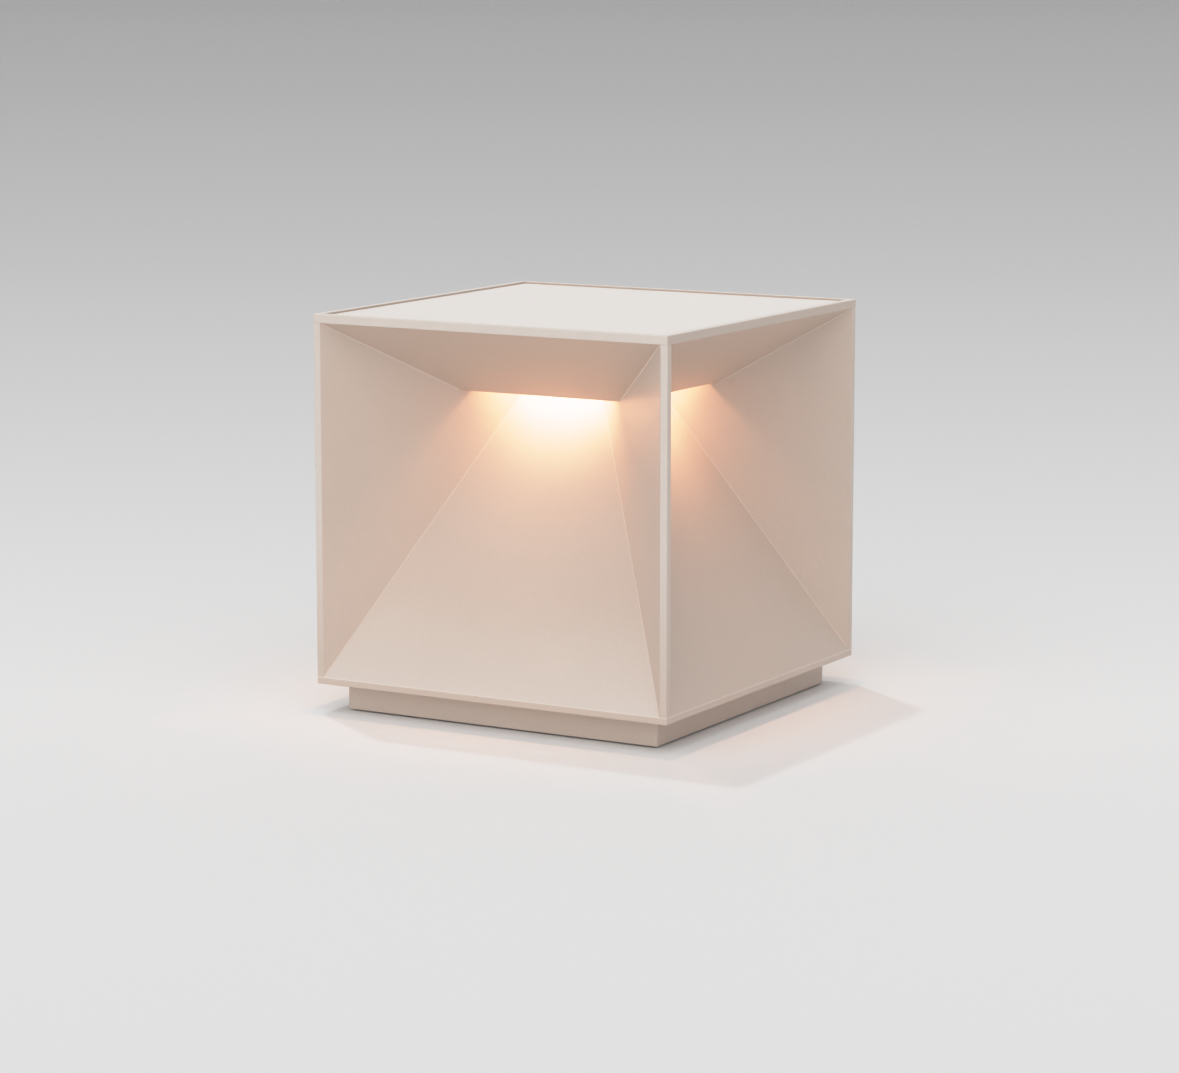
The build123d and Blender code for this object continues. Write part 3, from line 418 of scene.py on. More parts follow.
@dataclass(frozen=True)
class Moulding(Finish):
    """Moulded plastic with a spark-eroded grain."""

    colour: Colour
    roughness: float = 0.45
    dark: float = 0.86
    pale: float = 1.14
    pale_lift: float = 0.004
    grain: float = 0.22 * MM
    grain_depth: float = 0.008 * MM
    grain_share: float = 0.3
    grain_gloss: float = 0.2
    drift: float = 6 * MM
    drift_share: float = 0.7

    def sockets(self, paint: Paint) -> Sockets:
        """Grain the plastic and let its tone drift.

        Args:
            paint: The material's tree.

        Returns:
            The shader's inputs.
        """
        grain = paint.noise(self.grain, detail=3.0)
        share = paint.noise(self.drift) * self.drift_share + grain * self.grain_share
        dark, pale = toned(self.colour, self.dark), toned(self.colour, self.pale, self.pale_lift)
        return {
            "Base Color": paint.blend(share, dark, pale),
            "Roughness": paint.sway(grain, self.grain_gloss) + self.roughness,
            "Normal": paint.bump(grain, self.grain_depth),
        }


@dataclass(frozen=True)
class Rubber(Finish):
    """Dull rubber with a dusty bloom, and grip rings where it has a tread."""

    colour: Colour
    bloom: Colour
    roughness: float = 0.68
    dust: float = 2.2 * MM
    dust_gloss: float = 0.2
    grain: float = 0.3 * MM
    grain_height: float = 0.3
    tread_at: float = 0.0
    tread_top: float = 0.1 * MM
    ring: float = 1.0 * MM
    ring_height: float = 0.7
    ring_depth: float = 0.12 * MM

    def sockets(self, paint: Paint) -> Sockets:
        """Dust the rubber, grain it and cut its tread.

        Args:
            paint: The material's tree.

        Returns:
            The shader's inputs.
        """
        dust = paint.noise(self.dust, detail=4.0)
        height = paint.noise(self.grain) * self.grain_height
        if self.tread_at:
            x, y, z = paint.split(paint.place)
            from_middle = ((abs(x) - self.tread_at) ** 2.0 + (abs(y) - self.tread_at) ** 2.0) ** 0.5
            wave = paint.math("SINE", from_middle * (2 * math.pi / self.ring))
            height = height + (wave * 0.5 + 0.5) * self.ring_height * (z < self.tread_top)
        return {
            "Base Color": paint.blend(dust, self.colour, self.bloom),
            "Roughness": dust * self.dust_gloss + self.roughness,
            "Normal": paint.bump(height, self.ring_depth),
        }


@dataclass(frozen=True)
class Metal(Finish):
    """Bare or plated metal with fine tool marks along one axis."""

    colour: Colour
    roughness: float = 0.32
    dark: float = 0.82
    marks: float = 0.12 * MM
    marks_depth: float = 0.004 * MM
    marks_share: float = 0.4
    marks_gloss: float = 0.25
    stain: float = 5 * MM
    stain_share: float = 0.6
    stain_gloss: float = 0.1
    along: Point = (40.0, 1.0, 1.0)

    def sockets(self, paint: Paint) -> Sockets:
        """Draw the tool marks and stain the metal.

        Args:
            paint: The material's tree.

        Returns:
            The shader's inputs.
        """
        marks = paint.noise(self.marks, detail=3.0, stretch=self.along)
        stain = paint.noise(self.stain, detail=3.0)
        share = stain * self.stain_share + marks * self.marks_share
        return {
            "Base Color": paint.blend(share, toned(self.colour, self.dark), self.colour),
            "Metallic": 1.0,
            "Roughness": paint.sway(marks, self.marks_gloss) + stain * self.stain_gloss + self.roughness,
            "Normal": paint.bump(marks, self.marks_depth),
        }


@dataclass(frozen=True)
class CircuitBoard(Finish):
    """Solder mask over copper runs and pads."""

    mask: Colour
    copper: Colour
    roughness: float = 0.42
    sway: float = 9 * MM
    sway_steps: float = 3.0
    sway_shift: float = 0.37
    run: float = 3.2 * MM
    run_half: float = 0.16
    run_from: float = 0.44
    run_height: float = 0.6
    pad: float = 2.6 * MM
    pad_reach: float = 0.2
    pad_metal: float = 0.7
    copper_gloss: float = 0.12
    copper_depth: float = 0.03 * MM

    def sockets(self, paint: Paint) -> Sockets:
        """Lay the runs in lanes that shift in steps, and scatter the pads.

        Args:
            paint: The material's tree.

        Returns:
            The shader's inputs.
        """
        sway = paint.noise(self.sway, detail=0.0)
        shift = paint.math("ROUND", sway * self.sway_steps) * self.sway_shift
        lane = paint.math("FRACT", paint.split(paint.place)[0] / self.run + shift)
        runs = (abs(lane - 0.5) < self.run_half) * (sway > self.run_from)
        pads = paint.cells(self.pad) < self.pad_reach
        raised = paint.larger(runs * self.run_height, pads)
        return {
            "Base Color": paint.blend(raised, self.mask, self.copper),
            "Roughness": self.roughness - raised * self.copper_gloss,
            "Metallic": pads * self.pad_metal,
            "Normal": paint.bump(raised, self.copper_depth),
        }


@dataclass(frozen=True)
class LitOpal(Finish):
    """Opal sheet lit from behind, brightest over each light source."""

    colour: Colour
    glow: Colour
    strength: float
    roughness: float = 0.3
    dim: float = 0.25
    row: float = 27 * MM
    pitch: float = 8 * MM
    reach: float = 5.5 * MM
    haze: float = 1.5 * MM
    haze_tone: float = 0.95
    haze_gloss: float = 0.1

    def sockets(self, paint: Paint) -> Sockets:
        """Let the glow fall off from the rows of light sources.

        Args:
            paint: The material's tree.

        Returns:
            The shader's inputs.
        """
        x, y, _ = paint.split(paint.place)
        far = paint.larger(abs(x), abs(y))
        near = paint.math("MINIMUM", abs(x), abs(y))
        off = paint.larger(abs(near - self.pitch / 2) - self.pitch / 2, 0.0)
        spread = ((far - self.row) ** 2.0 + off**2.0) / self.reach**2
        share = paint.math("EXPONENT", spread * -1.0)
        haze = paint.noise(self.haze)
        return {
            "Base Color": paint.blend(haze, toned(self.colour, self.haze_tone), self.colour),
            "Roughness": haze * self.haze_gloss + self.roughness,
            "Emission Color": paint.blend(share, toned(self.glow, self.dim), self.glow),
            "Emission Strength": self.strength,
        }


@dataclass(frozen=True)
class CellWrap(Finish):
    """Plain shrink wrap on a battery cell, with faint draw lines and bare ends."""

    colour: Colour
    bare: Colour = (0.62, 0.62, 0.63)
    bare_from: float = 31.6 * MM
    bare_metal: float = 0.9
    roughness: float = 0.28
    dark: float = 0.8
    lines: float = 0.5 * MM
    lines_depth: float = 0.02 * MM
    lines_gloss: float = 0.15
    along: Point = (60.0, 1.0, 1.0)

    def sockets(self, paint: Paint) -> Sockets:
        """Draw the lines of the wrap and bare the ends.

        Args:
            paint: The material's tree.

        Returns:
            The shader's inputs.
        """
        lines = paint.noise(self.lines, stretch=self.along)
        end = abs(paint.split(paint.place)[0]) > self.bare_from
        wrapped = paint.blend(lines, toned(self.colour, self.dark), self.colour)
        return {
            "Base Color": paint.blend(end, wrapped, self.bare),
            "Metallic": end * self.bare_metal,
            "Roughness": lines * self.lines_gloss + self.roughness,
            "Normal": paint.bump(lines, self.lines_depth),
        }


@dataclass(frozen=True)
class LeadPair(Finish):
    """Insulated leads of which the one on the plus side of X is red and the other black or pale grey."""

    plus: Colour = (0.42, 0.02, 0.02)
    minus: Colour = (0.02, 0.02, 0.022)
    parting_x: float = 0.0
    roughness: float = 0.4
    skin: float = 0.8 * MM
    skin_depth: float = 0.01 * MM
    skin_gloss: float = 0.2

    def sockets(self, paint: Paint) -> Sockets:
        """Part the colours and roughen the skin.

        Args:
            paint: The material's tree.

        Returns:
            The shader's inputs.
        """
        skin = paint.noise(self.skin, detail=3.0)
        plus = paint.split(paint.place)[0] > self.parting_x
        return {
            "Base Color": paint.blend(plus, self.minus, self.plus),
            "Roughness": skin * self.skin_gloss + self.roughness,
            "Normal": paint.bump(skin, self.skin_depth),
        }


@dataclass(frozen=True)
class ClearPipe(Finish):
    """Clear acrylic light guide with a frosted skin."""

    colour: Colour
    clear: float = 0.6
    index: float = 1.49
    roughness: float = 0.12
    frost: float = 0.2 * MM
    frost_tone: float = 0.92
    frost_gloss: float = 0.3

    def sockets(self, paint: Paint) -> Sockets:
        """Frost the skin.

        Args:
            paint: The material's tree.

        Returns:
            The shader's inputs.
        """
        frost = paint.noise(self.frost)
        return {
            "Base Color": paint.blend(frost, toned(self.colour, self.frost_tone), self.colour),
            "Roughness": frost * self.frost_gloss + self.roughness,
            "Transmission Weight": self.clear,
            "IOR": self.index,
        }


@dataclass(frozen=True)
class PaintedShadeFloor(Finish):
    """Matt studio floor with painted shade: its colour darkens evenly away from the lamp, most towards its
    far end.
    """

    level: float
    heading: float
    fade: tuple[tuple[float, float], ...]
    near: float = 0.8
    roughness: float = 0.85
    specular: float = 0.2

    def sockets(self, paint: Paint) -> Sockets:
        """Paint shade on the floor along its heading, by the logarithm of the distance.

        Args:
            paint: The material's tree.

        Returns:
            The shader's inputs.
        """
        # Painted shade: the floor's colour darkens along its heading, away from the lamp.
        x, y, _ = paint.split(paint.place)
        turn = math.radians(self.heading)
        away = y * math.cos(turn) - x * math.sin(turn)
        first = self.fade[0][0] + self.near
        last = math.log((self.fade[-1][0] + self.near) / first)
        scale = paint.math("LOGARITHM", paint.larger((away + self.near) / first, 1.0), math.e)
        stops = [
            (math.log((far + self.near) / first) / last, (self.level * share,) * 3)
            for far, share in self.fade
        ]
        tone = paint.node("ShaderNodeValToRGB", {"stops": stops}, {0: scale / last})
        return {"Base Color": tone, "Roughness": self.roughness, "Specular IOR Level": self.specular}


SAND: Colour = (0.612, 0.503, 0.43)
# SHADED is the sand coat darkened as painted shade for the canopy, whose underside faces down.
SHADED: Colour = (0.555, 0.437, 0.36)
# The paler rim colour is painted light and sheen on the outermost faces and the crown.
RIM_LIGHT_AND_SHEEN: Colour = (0.695, 0.616, 0.558)
# PALE, the top panel's colour, is partly a paler paint and partly painted sheen and top light.
PALE: Colour = (0.822, 0.746, 0.696)
# The joint beads' paler colour is a painted highlight along the joints.
BEAD_HIGHLIGHT: Colour = (0.74, 0.63, 0.56)
UNDERSIDE: Colour = (0.42, 0.35, 0.29)
SAND_PLASTIC: Colour = (0.69, 0.60, 0.525)
BLACK: Colour = (0.020, 0.020, 0.021)
DUST: Colour = (0.05, 0.05, 0.05)
LAMPLIGHT: Colour = (1.0, 0.5, 0.31)


class Look(Enum):
    """The finishes that the lamp's pieces wear."""

    # Coats with a rim colour carry painted light on their rims; the body's coat also on the foot of its front
    # and back slopes.
    SAND_COAT = PowderCoat("sand_powder_coat", SAND, RIM_LIGHT_AND_SHEEN)
    BODY_COAT = PowderCoat("body_powder_coat", SAND, RIM_LIGHT_AND_SHEEN, foot_light_share=0.75)
    CANOPY_COAT = PowderCoat("canopy_powder_coat", SHADED, RIM_LIGHT_AND_SHEEN)
    PALE_COAT = PowderCoat("pale_powder_coat", PALE, roughness=0.5)
    # This coat's paler colour is a painted highlight along the joints.
    JOINT_BEAD_HIGHLIGHT = PowderCoat("joint_bead_highlight", BEAD_HIGHLIGHT)
    BASE_COAT = PowderCoat("base_powder_coat", UNDERSIDE, roughness=0.6, pebble=0.7 * MM)
    GREY_SILICONE = Rubber("grey_silicone", (0.30, 0.29, 0.28), (0.38, 0.37, 0.36))
    FOOT_RUBBER = Rubber("foot_rubber", BLACK, DUST, tread_at=48 * MM)
    RING_RUBBER = Rubber("ring_rubber", BLACK, DUST)
    ALUMINIUM = Metal("milled_aluminium", (0.74, 0.74, 0.75), along=(1.0, 40.0, 1.0))
    STEEL = Metal("plated_steel", (0.62, 0.62, 0.63), along=(1.0, 1.0, 30.0))
    GOLD = Metal("contact_gold", (0.85, 0.62, 0.28), roughness=0.22, along=(1.0, 30.0, 1.0))
    LED_BOARD = CircuitBoard("white_led_board", (0.82, 0.82, 0.80), (0.70, 0.66, 0.58))
    CONTROL_BOARD = CircuitBoard("green_control_board", (0.02, 0.15, 0.07), (0.05, 0.27, 0.13))
    PHOSPHOR = LitOpal("led_phosphor", (0.95, 0.78, 0.30), LAMPLIGHT, strength=6.0, reach=20 * MM)
    OPAL = LitOpal("lit_opal", (0.92, 0.88, 0.80), LAMPLIGHT, strength=1.6)
    WHITE_MOULDING = Moulding("white_moulding", (0.80, 0.80, 0.78))
    SAND_MOULDING = Moulding("sand_moulding", SAND_PLASTIC, roughness=0.5)
    DARK_MOULDING = Moulding("dark_moulding", (0.028, 0.028, 0.032))
    CLEAR_GUIDE = ClearPipe("clear_guide", (0.92, 0.93, 0.93))
    CELL_WRAP = CellWrap("cell_wrap", (0.06, 0.18, 0.40))
    BATTERY_LEADS = LeadPair("battery_lead_skin")
    LED_LEADS = LeadPair("led_lead_skin", minus=(0.55, 0.55, 0.53))


Finishes = dict[Look, bpy.types.Material]
Wear = tuple[tuple[Look, tuple[str, ...]], ...]


class Shape(Graph):
    """A Geometry Nodes tree with named inputs, baked to one plain mesh."""

    def __init__(self, name: str) -> None:
        """Start an empty tree with a geometry output.

        Args:
            name: The name of the tree and of the piece that it makes.
        """
        super().__init__(bpy.data.node_groups.new(name, "GeometryNodeTree"))
        self.name = name
        self.amounts: dict[str, Any] = {}
        self.tree.interface.new_socket("Geometry", in_out="OUTPUT", socket_type="NodeSocketGeometry")
        self.entry = self.node("NodeGroupInput")

    def number(self, name: str, amount: float) -> Wire:
        """A named input that holds a length or a ratio."""
        return self.named(name, "NodeSocketFloat", amount)

    def count(self, name: str, amount: int) -> Wire:
        """A named input that holds a whole number."""
        return self.named(name, "NodeSocketInt", amount)

    def point(self, name: str, amount: Point) -> Wire:
        """A named input that holds a place."""
        return self.named(name, "NodeSocketVector", amount)

    def named(self, name: str, kind: str, amount: Any) -> Wire:
        """A named input of any kind.

        Args:
            name: The input's name.
            kind: Blender's name for the socket type.
            amount: The value that the modifier gets.

        Returns:
            A wire from the input.
        """
        socket = self.tree.interface.new_socket(name, in_out="INPUT", socket_type=kind)
        self.amounts[socket.identifier] = amount
        return self.entry.out(name)

    def across(self, place: Wire) -> Wire:
        """The mirror image of a place in the upright plane through the cube's corner."""
        x, y, z = self.split(place)
        return self.join(y, x, z)

    def rod(self, start: Wire, end: Wire, radius: Wire, sides: int) -> Wire:
        """A straight round rod with closed ends.

        Args:
            start: The middle of one end.
            end: The middle of the other end.
            radius: The rod's radius.
            sides: Number of faces around it.

        Returns:
            The rod.
        """
        line = self.node("GeometryNodeCurvePrimitiveLine", sockets={0: start, 1: end})
        round_section = {"Resolution": sides, "Radius": radius}
        section = self.node("GeometryNodeCurvePrimitiveCircle", {"mode": "RADIUS"}, round_section)
        sockets = {"Curve": line, "Profile Curve": section, "Fill Caps": True}
        return self.node("GeometryNodeCurveToMesh", sockets=sockets)

    def row(self, count: Wire, first: Wire, pitch: Wire) -> Wire:
        """Points at a pitch along X, from the first."""
        sockets = {"Count": count, "Start Location": first, "Offset": self.join(pitch, 0.0, 0.0)}
        return self.node("GeometryNodeMeshLine", sockets=sockets)

    def spread(self, geometry: Wire, points: Wire, turn: "Wire | Point" = (0.0, 0.0, 0.0)) -> Wire:
        """The geometry once at every point, turned as asked."""
        sockets = {"Points": points, "Instance": geometry, "Rotation": turn}
        return self.node("GeometryNodeInstanceOnPoints", sockets=sockets)

    def gather(self, *parts: Wire) -> Wire:
        """Join geometries.

        Args:
            *parts: The geometries.

        Returns:
            All of them as one.
        """
        joined = self.node("GeometryNodeJoinGeometry")
        for part in parts:
            self.tree.links.new(part.socket, joined.node.inputs[0])
        return joined

    def quarter_turns(self) -> tuple[Wire, Wire]:
        """Mark the four sides of the lamp.

        Returns:
            Four points at the origin, and a quarter turn about Z from each to the next.
        """
        points = self.node("GeometryNodePoints", sockets={"Count": SIDES})
        index = self.node("GeometryNodeInputIndex")
        return points, self.join(0.0, 0.0, index * QUARTER_TURN)

    def bake(self, geometry: Wire, material: bpy.types.Material) -> bpy.types.Object:
        """Close the tree and turn its result into a mesh object.

        Args:
            geometry: What the tree makes.
            material: The finish of the whole piece.

        Returns:
            A plain mesh object at the origin with no modifier.
        """
        solid = self.node("GeometryNodeRealizeInstances", sockets={0: geometry})
        worn = {"Geometry": solid, "Material": material}
        dressed = self.node("GeometryNodeSetMaterial", sockets=worn)
        self.node("NodeGroupOutput", sockets={"Geometry": dressed})
        piece = bpy.data.objects.new(self.name, bpy.data.meshes.new(self.name))
        bpy.context.scene.collection.objects.link(piece)
        modifier = piece.modifiers.new(self.name, "NODES")
        modifier.node_group = self.tree
        for identifier, amount in self.amounts.items():
            modifier[identifier] = amount
        seen = piece.evaluated_get(bpy.context.evaluated_depsgraph_get())
        mesh = bpy.data.meshes.new_from_object(seen)
        # The tree leaves an empty slot in front of the finish.
        mesh.materials.clear()
        mesh.materials.append(material)
        piece.modifiers.clear()
        piece.data = mesh
        face_out(mesh)
        return piece


def face_out(mesh: bpy.types.Mesh) -> None:
    """Turn every face of closed shells outwards.

    Args:
        mesh: The mesh of the shells.
    """
    work = bmesh.new()
    work.from_mesh(mesh)
    bmesh.ops.recalc_face_normals(work, faces=work.faces)
    work.to_mesh(mesh)
    work.free()


def settle(piece: bpy.types.Object, body: Body) -> bpy.types.Object:
    """Let a finished piece ride on its body.

    Args:
        piece: The piece.
        body: The body that it moves with.

    Returns:
        The piece.
    """
    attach(piece, body.value)
    return piece


@dataclass
class SubAssembly:
    """A group of pieces that are made and dressed together, with the finish of each of its nodes."""

    wear: Wear = ()

    def build(self, finishes: Finishes) -> list[bpy.types.Object]:
        """Make the pieces that the frame lacks; a group that needs none makes none."""
        return []

    def dress(self, finishes: Finishes) -> list[bpy.types.Object]:
        """Give the group's nodes their finishes.

        Args:
            finishes: The materials of the lamp.

        Returns:
            The nodes' objects.
        """
        dressed = []
        for look, names in self.wear:
            for name in names:
                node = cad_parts[name]
                node.data.materials.clear()
                node.data.materials.append(finishes[look])
                dressed.append(node)
        return dressed


@dataclass
class LightBody(SubAssembly):
    """The two pyramid shells, the fins let into their ridges, and the fine beads along the joints."""

    wear: Wear = (
        (Look.BODY_COAT, ("lower_body",)),
        (Look.SAND_COAT, ("fin_front_left", "fin_front_right", "fin_back_right", "fin_back_left")),
        (Look.CANOPY_COAT, ("canopy",)),
    )
    half: float = 75.0 * MM
    strip: float = 2.8 * MM
    slope_z: float = 13.5 * MM
    lip_z: float = 120.4 * MM
    brow_z: float = 147.3 * MM
    neck_half: float = 19.4 * MM
    lip_half: float = 36.9 * MM
    slope_bead: float = 0.2 * MM
    slope_bead_foot_z: float = 14.5 * MM
    slope_bead_head_z: float = 113.0 * MM
    canopy_bead: float = 0.25 * MM
    canopy_bead_foot_z: float = 120.65 * MM
    canopy_bead_head_z: float = 146.8 * MM
    bead_sides: int = 12

    def lower_corner(self, z: float) -> Point:
        """Where the tall pyramid meets the side of a fin at height z."""
        half = self.half - (z - self.slope_z) * (self.half - self.neck_half) / (self.lip_z - self.slope_z)
        return (half, half - self.strip, z)

    def upper_corner(self, z: float) -> Point:
        """Where the canopy's underside meets the side of a fin at height z."""
        half = self.lip_half + (z - self.lip_z) * (self.half - self.lip_half) / (self.brow_z - self.lip_z)
        return (half, half - self.strip, z)

    def build(self, finishes: Finishes) -> list[bpy.types.Object]:
        """Run a fine bead along every joint between a fin and a pyramid, painted paler as a highlight.

        Args:
            finishes: The materials of the lamp.

        Returns:
            The beads, as one piece.
        """
        shape = Shape("joint_beads")
        slope = self.lower_corner(self.slope_bead_foot_z), self.lower_corner(self.slope_bead_head_z)
        canopy = self.upper_corner(self.canopy_bead_foot_z), self.upper_corner(self.canopy_bead_head_z)
        beads = []
        for joint, (foot, head), size in (
            ("Slope", slope, self.slope_bead),
            ("Canopy", canopy, self.canopy_bead),
        ):
            start = shape.point(f"{joint} foot", foot)
            end = shape.point(f"{joint} head", head)
            radius = shape.number(f"{joint} bead radius", size)
            beads.append(shape.rod(start, end, radius, self.bead_sides))
            beads.append(shape.rod(shape.across(start), shape.across(end), radius, self.bead_sides))
        smooth = shape.node("GeometryNodeSetShadeSmooth", sockets={"Geometry": shape.gather(*beads)})
        beads_all_round = shape.spread(smooth, *shape.quarter_turns())
        piece = shape.bake(beads_all_round, finishes[Look.JOINT_BEAD_HIGHLIGHT])
        return [settle(piece, Body.LAMP)]


@dataclass
class TopCover(SubAssembly):
    """The inset top panel and the seal under it."""

    wear: Wear = (
        (Look.PALE_COAT, ("top_cover",)),
        (Look.GREY_SILICONE, ("cover_gasket",)),
    )


@dataclass(frozen=True)
class Strip:
    """A line of lamplight under the opal sheet, one on each side of the lamp."""

    row: float
    length: float
    width: float
    power: float
    spread: float = 180.0


@dataclass
class LightEngine(SubAssembly):
    """Light sources, their board and carrier, and the opal sheet that closes the well."""

    wear: Wear = (
        (Look.OPAL, ("diffuser",)),
        (Look.PHOSPHOR, ("led_chips",)),
        (Look.LED_BOARD, ("led_board",)),
        (Look.ALUMINIUM, ("led_carrier",)),
        (Look.WHITE_MOULDING, ("diffuser_spacer", "led_connector")),
        (Look.GREY_SILICONE, ("diffuser_gasket",)),
        (Look.LED_LEADS, ("led_leads",)),
        (Look.STEEL, ("carrier_screws", "neck_screws")),
    )
    height: float = 128.6 * MM
    strips: tuple[Strip, ...] = (
        Strip(row=28.0 * MM, length=52 * MM, width=3 * MM, power=0.0315),
        Strip(row=22.0 * MM, length=40 * MM, width=3 * MM, power=0.0025),
        Strip(row=26.5 * MM, length=30 * MM, width=4 * MM, power=0.0104, spread=100.0),
    )

    def build(self, finishes: Finishes) -> list[bpy.types.Object]:
        """Hang the strips of lamplight under the opal sheet.

        Args:
            finishes: The materials of the lamp, which light has no use for.

        Returns:
            No piece, because light is none.
        """
        for strip in self.strips:
            for side in range(SIDES):
                self.hang(strip, side * QUARTER_TURN)
        return []

    def hang(self, strip: Strip, turn: float) -> None:
        """Hang one strip.

        Args:
            strip: The strip.
            turn: Its angle about the lamp's axis from the front.
        """
        data = bpy.data.lights.new("slot_light", "AREA")
        data.shape = "RECTANGLE"
        data.size = strip.length
        data.size_y = strip.width
        data.energy = strip.power
        data.spread = math.radians(strip.spread)
        data.color = LAMPLIGHT
        lamp = bpy.data.objects.new("slot_light", data)
        lamp.location = (strip.row * math.sin(turn), -strip.row * math.cos(turn), self.height)
        lamp.rotation_euler = (0.0, 0.0, turn)
        lamp.visible_camera = False
        bpy.context.scene.collection.objects.link(lamp)


@dataclass
class Plinth(SubAssembly):
    """The inset base ring with its plate, seal, feet and screws."""

    wear: Wear = (
        (Look.SAND_COAT, ("plinth",)),
        (Look.BASE_COAT, ("base_plate",)),
        (Look.GREY_SILICONE, ("base_gasket",)),
        (Look.FOOT_RUBBER, ("foot_front_left", "foot_front_right", "foot_back_right", "foot_back_left")),
        (Look.STEEL, ("base_screws", "plinth_screws", "cradle_screws")),
    )


@dataclass
class Controls(SubAssembly):
    """The charging port behind its flap, the push button and the board that they work."""

    wear: Wear = (
        (Look.SAND_MOULDING, ("port_flap", "button_cap")),
        (Look.GREY_SILICONE, ("flap_seal",)),
        (Look.RING_RUBBER, ("button_oring",)),
        (Look.STEEL, ("usb_socket", "flap_pin", "board_screws")),
        (Look.CLEAR_GUIDE, ("charge_light_pipe",)),
        (Look.CONTROL_BOARD, ("control_board",)),
        (Look.DARK_MOULDING, ("board_parts", "switch_body", "switch_plunger")),
        (Look.WHITE_MOULDING, ("board_connectors",)),
    )
    tongue_middle_y: float = 60.3 * MM
    tongue_thick: float = 0.7 * MM
    port_z: float = 6.3 * MM
    contacts: int = 12
    contact_pitch: float = 0.5 * MM
    contact_width: float = 0.26 * MM
    contact_length: float = 4.4 * MM
    contact_proud: float = 0.04 * MM
    flap_face_y: float = 66.7 * MM
    ribs: int = 4
    rib_first_x: float = 4.5 * MM
    rib_pitch: float = 0.9 * MM
    rib_radius: float = 0.24 * MM
    rib_sides: int = 16
    rib_foot_z: float = 4.5 * MM
    rib_head_z: float = 8.1 * MM

    def build(self, finishes: Finishes) -> list[bpy.types.Object]:
        """Make the contacts of the port and the grip of its flap."""
        return [self.build_contacts(finishes), self.build_grip(finishes)]

    def build_contacts(self, finishes: Finishes) -> bpy.types.Object:
        """Lay the two rows of contacts on the socket's tongue.

        Args:
            finishes: The materials of the lamp.

        Returns:
            The contacts, as one piece.
        """
        shape = Shape("port_contacts")
        width = shape.number("Contact width", self.contact_width)
        length = shape.number("Contact length", self.contact_length)
        proud = shape.number("Proud", self.contact_proud)
        pitch = shape.number("Pitch", self.contact_pitch)
        middle = shape.point("Middle", (0.0, self.tongue_middle_y, self.port_z))
        thick = shape.number("Tongue thickness", self.tongue_thick)
        count = shape.count("Contacts", self.contacts)
        # Each contact is half sunk in the tongue, so it is twice as thick as it stands proud.
        contact = shape.node("GeometryNodeMeshCube", sockets={"Size": shape.join(width, length, proud * 2.0)})
        x, y, z = shape.split(middle)
        first = x - pitch * ((self.contacts - 1) / 2)
        rows = [
            shape.row(count, shape.join(first, y, z + thick * side), pitch)
            for side in (-0.5, 0.5)
        ]
        piece = shape.bake(shape.spread(contact, shape.gather(*rows)), finishes[Look.GOLD])
        return settle(piece, Body.LAMP)

    def build_grip(self, finishes: Finishes) -> bpy.types.Object:
        """Set a row of half-round ribs for a fingertip on the free end of the flap.

        Args:
            finishes: The materials of the lamp.

        Returns:
            The ribs, as one piece.
        """
        shape = Shape("flap_grip")
        radius = shape.number("Rib radius", self.rib_radius)
        pitch = shape.number("Rib pitch", self.rib_pitch)
        first = shape.point("First rib", (self.rib_first_x, self.flap_face_y, 0.0))
        foot = shape.join(0.0, 0.0, shape.number("Rib foot", self.rib_foot_z))
        head = shape.join(0.0, 0.0, shape.number("Rib head", self.rib_head_z))
        rib = shape.rod(foot, head, radius, self.rib_sides)
        places = shape.row(shape.count("Ribs", self.ribs), first, pitch)
        piece = shape.bake(shape.spread(rib, places), finishes[Look.SAND_MOULDING])
        return settle(piece, Body.FLAP)


@dataclass
class Battery(SubAssembly):
    """Two cells in a moulded cradle, with their links and leads."""

    wear: Wear = (
        (Look.CELL_WRAP, ("battery_cell_front", "battery_cell_back")),
        (Look.DARK_MOULDING, ("battery_cradle",)),
        (Look.STEEL, ("cell_links",)),
        (Look.BATTERY_LEADS, ("battery_leads",)),
    )


@dataclass(frozen=True)
class Softbox:
    """A soft patch of light in the room, by its heading from the front, its height and its strength."""

    heading: float
    height: float
    strength: float
    falloff: float = 3.0

    def way(self) -> Point:
        """The direction in which the patch lies."""
        turn, rise = math.radians(self.heading), math.radians(self.height)
        return (math.sin(turn) * math.cos(rise), -math.cos(turn) * math.cos(rise), math.sin(rise))


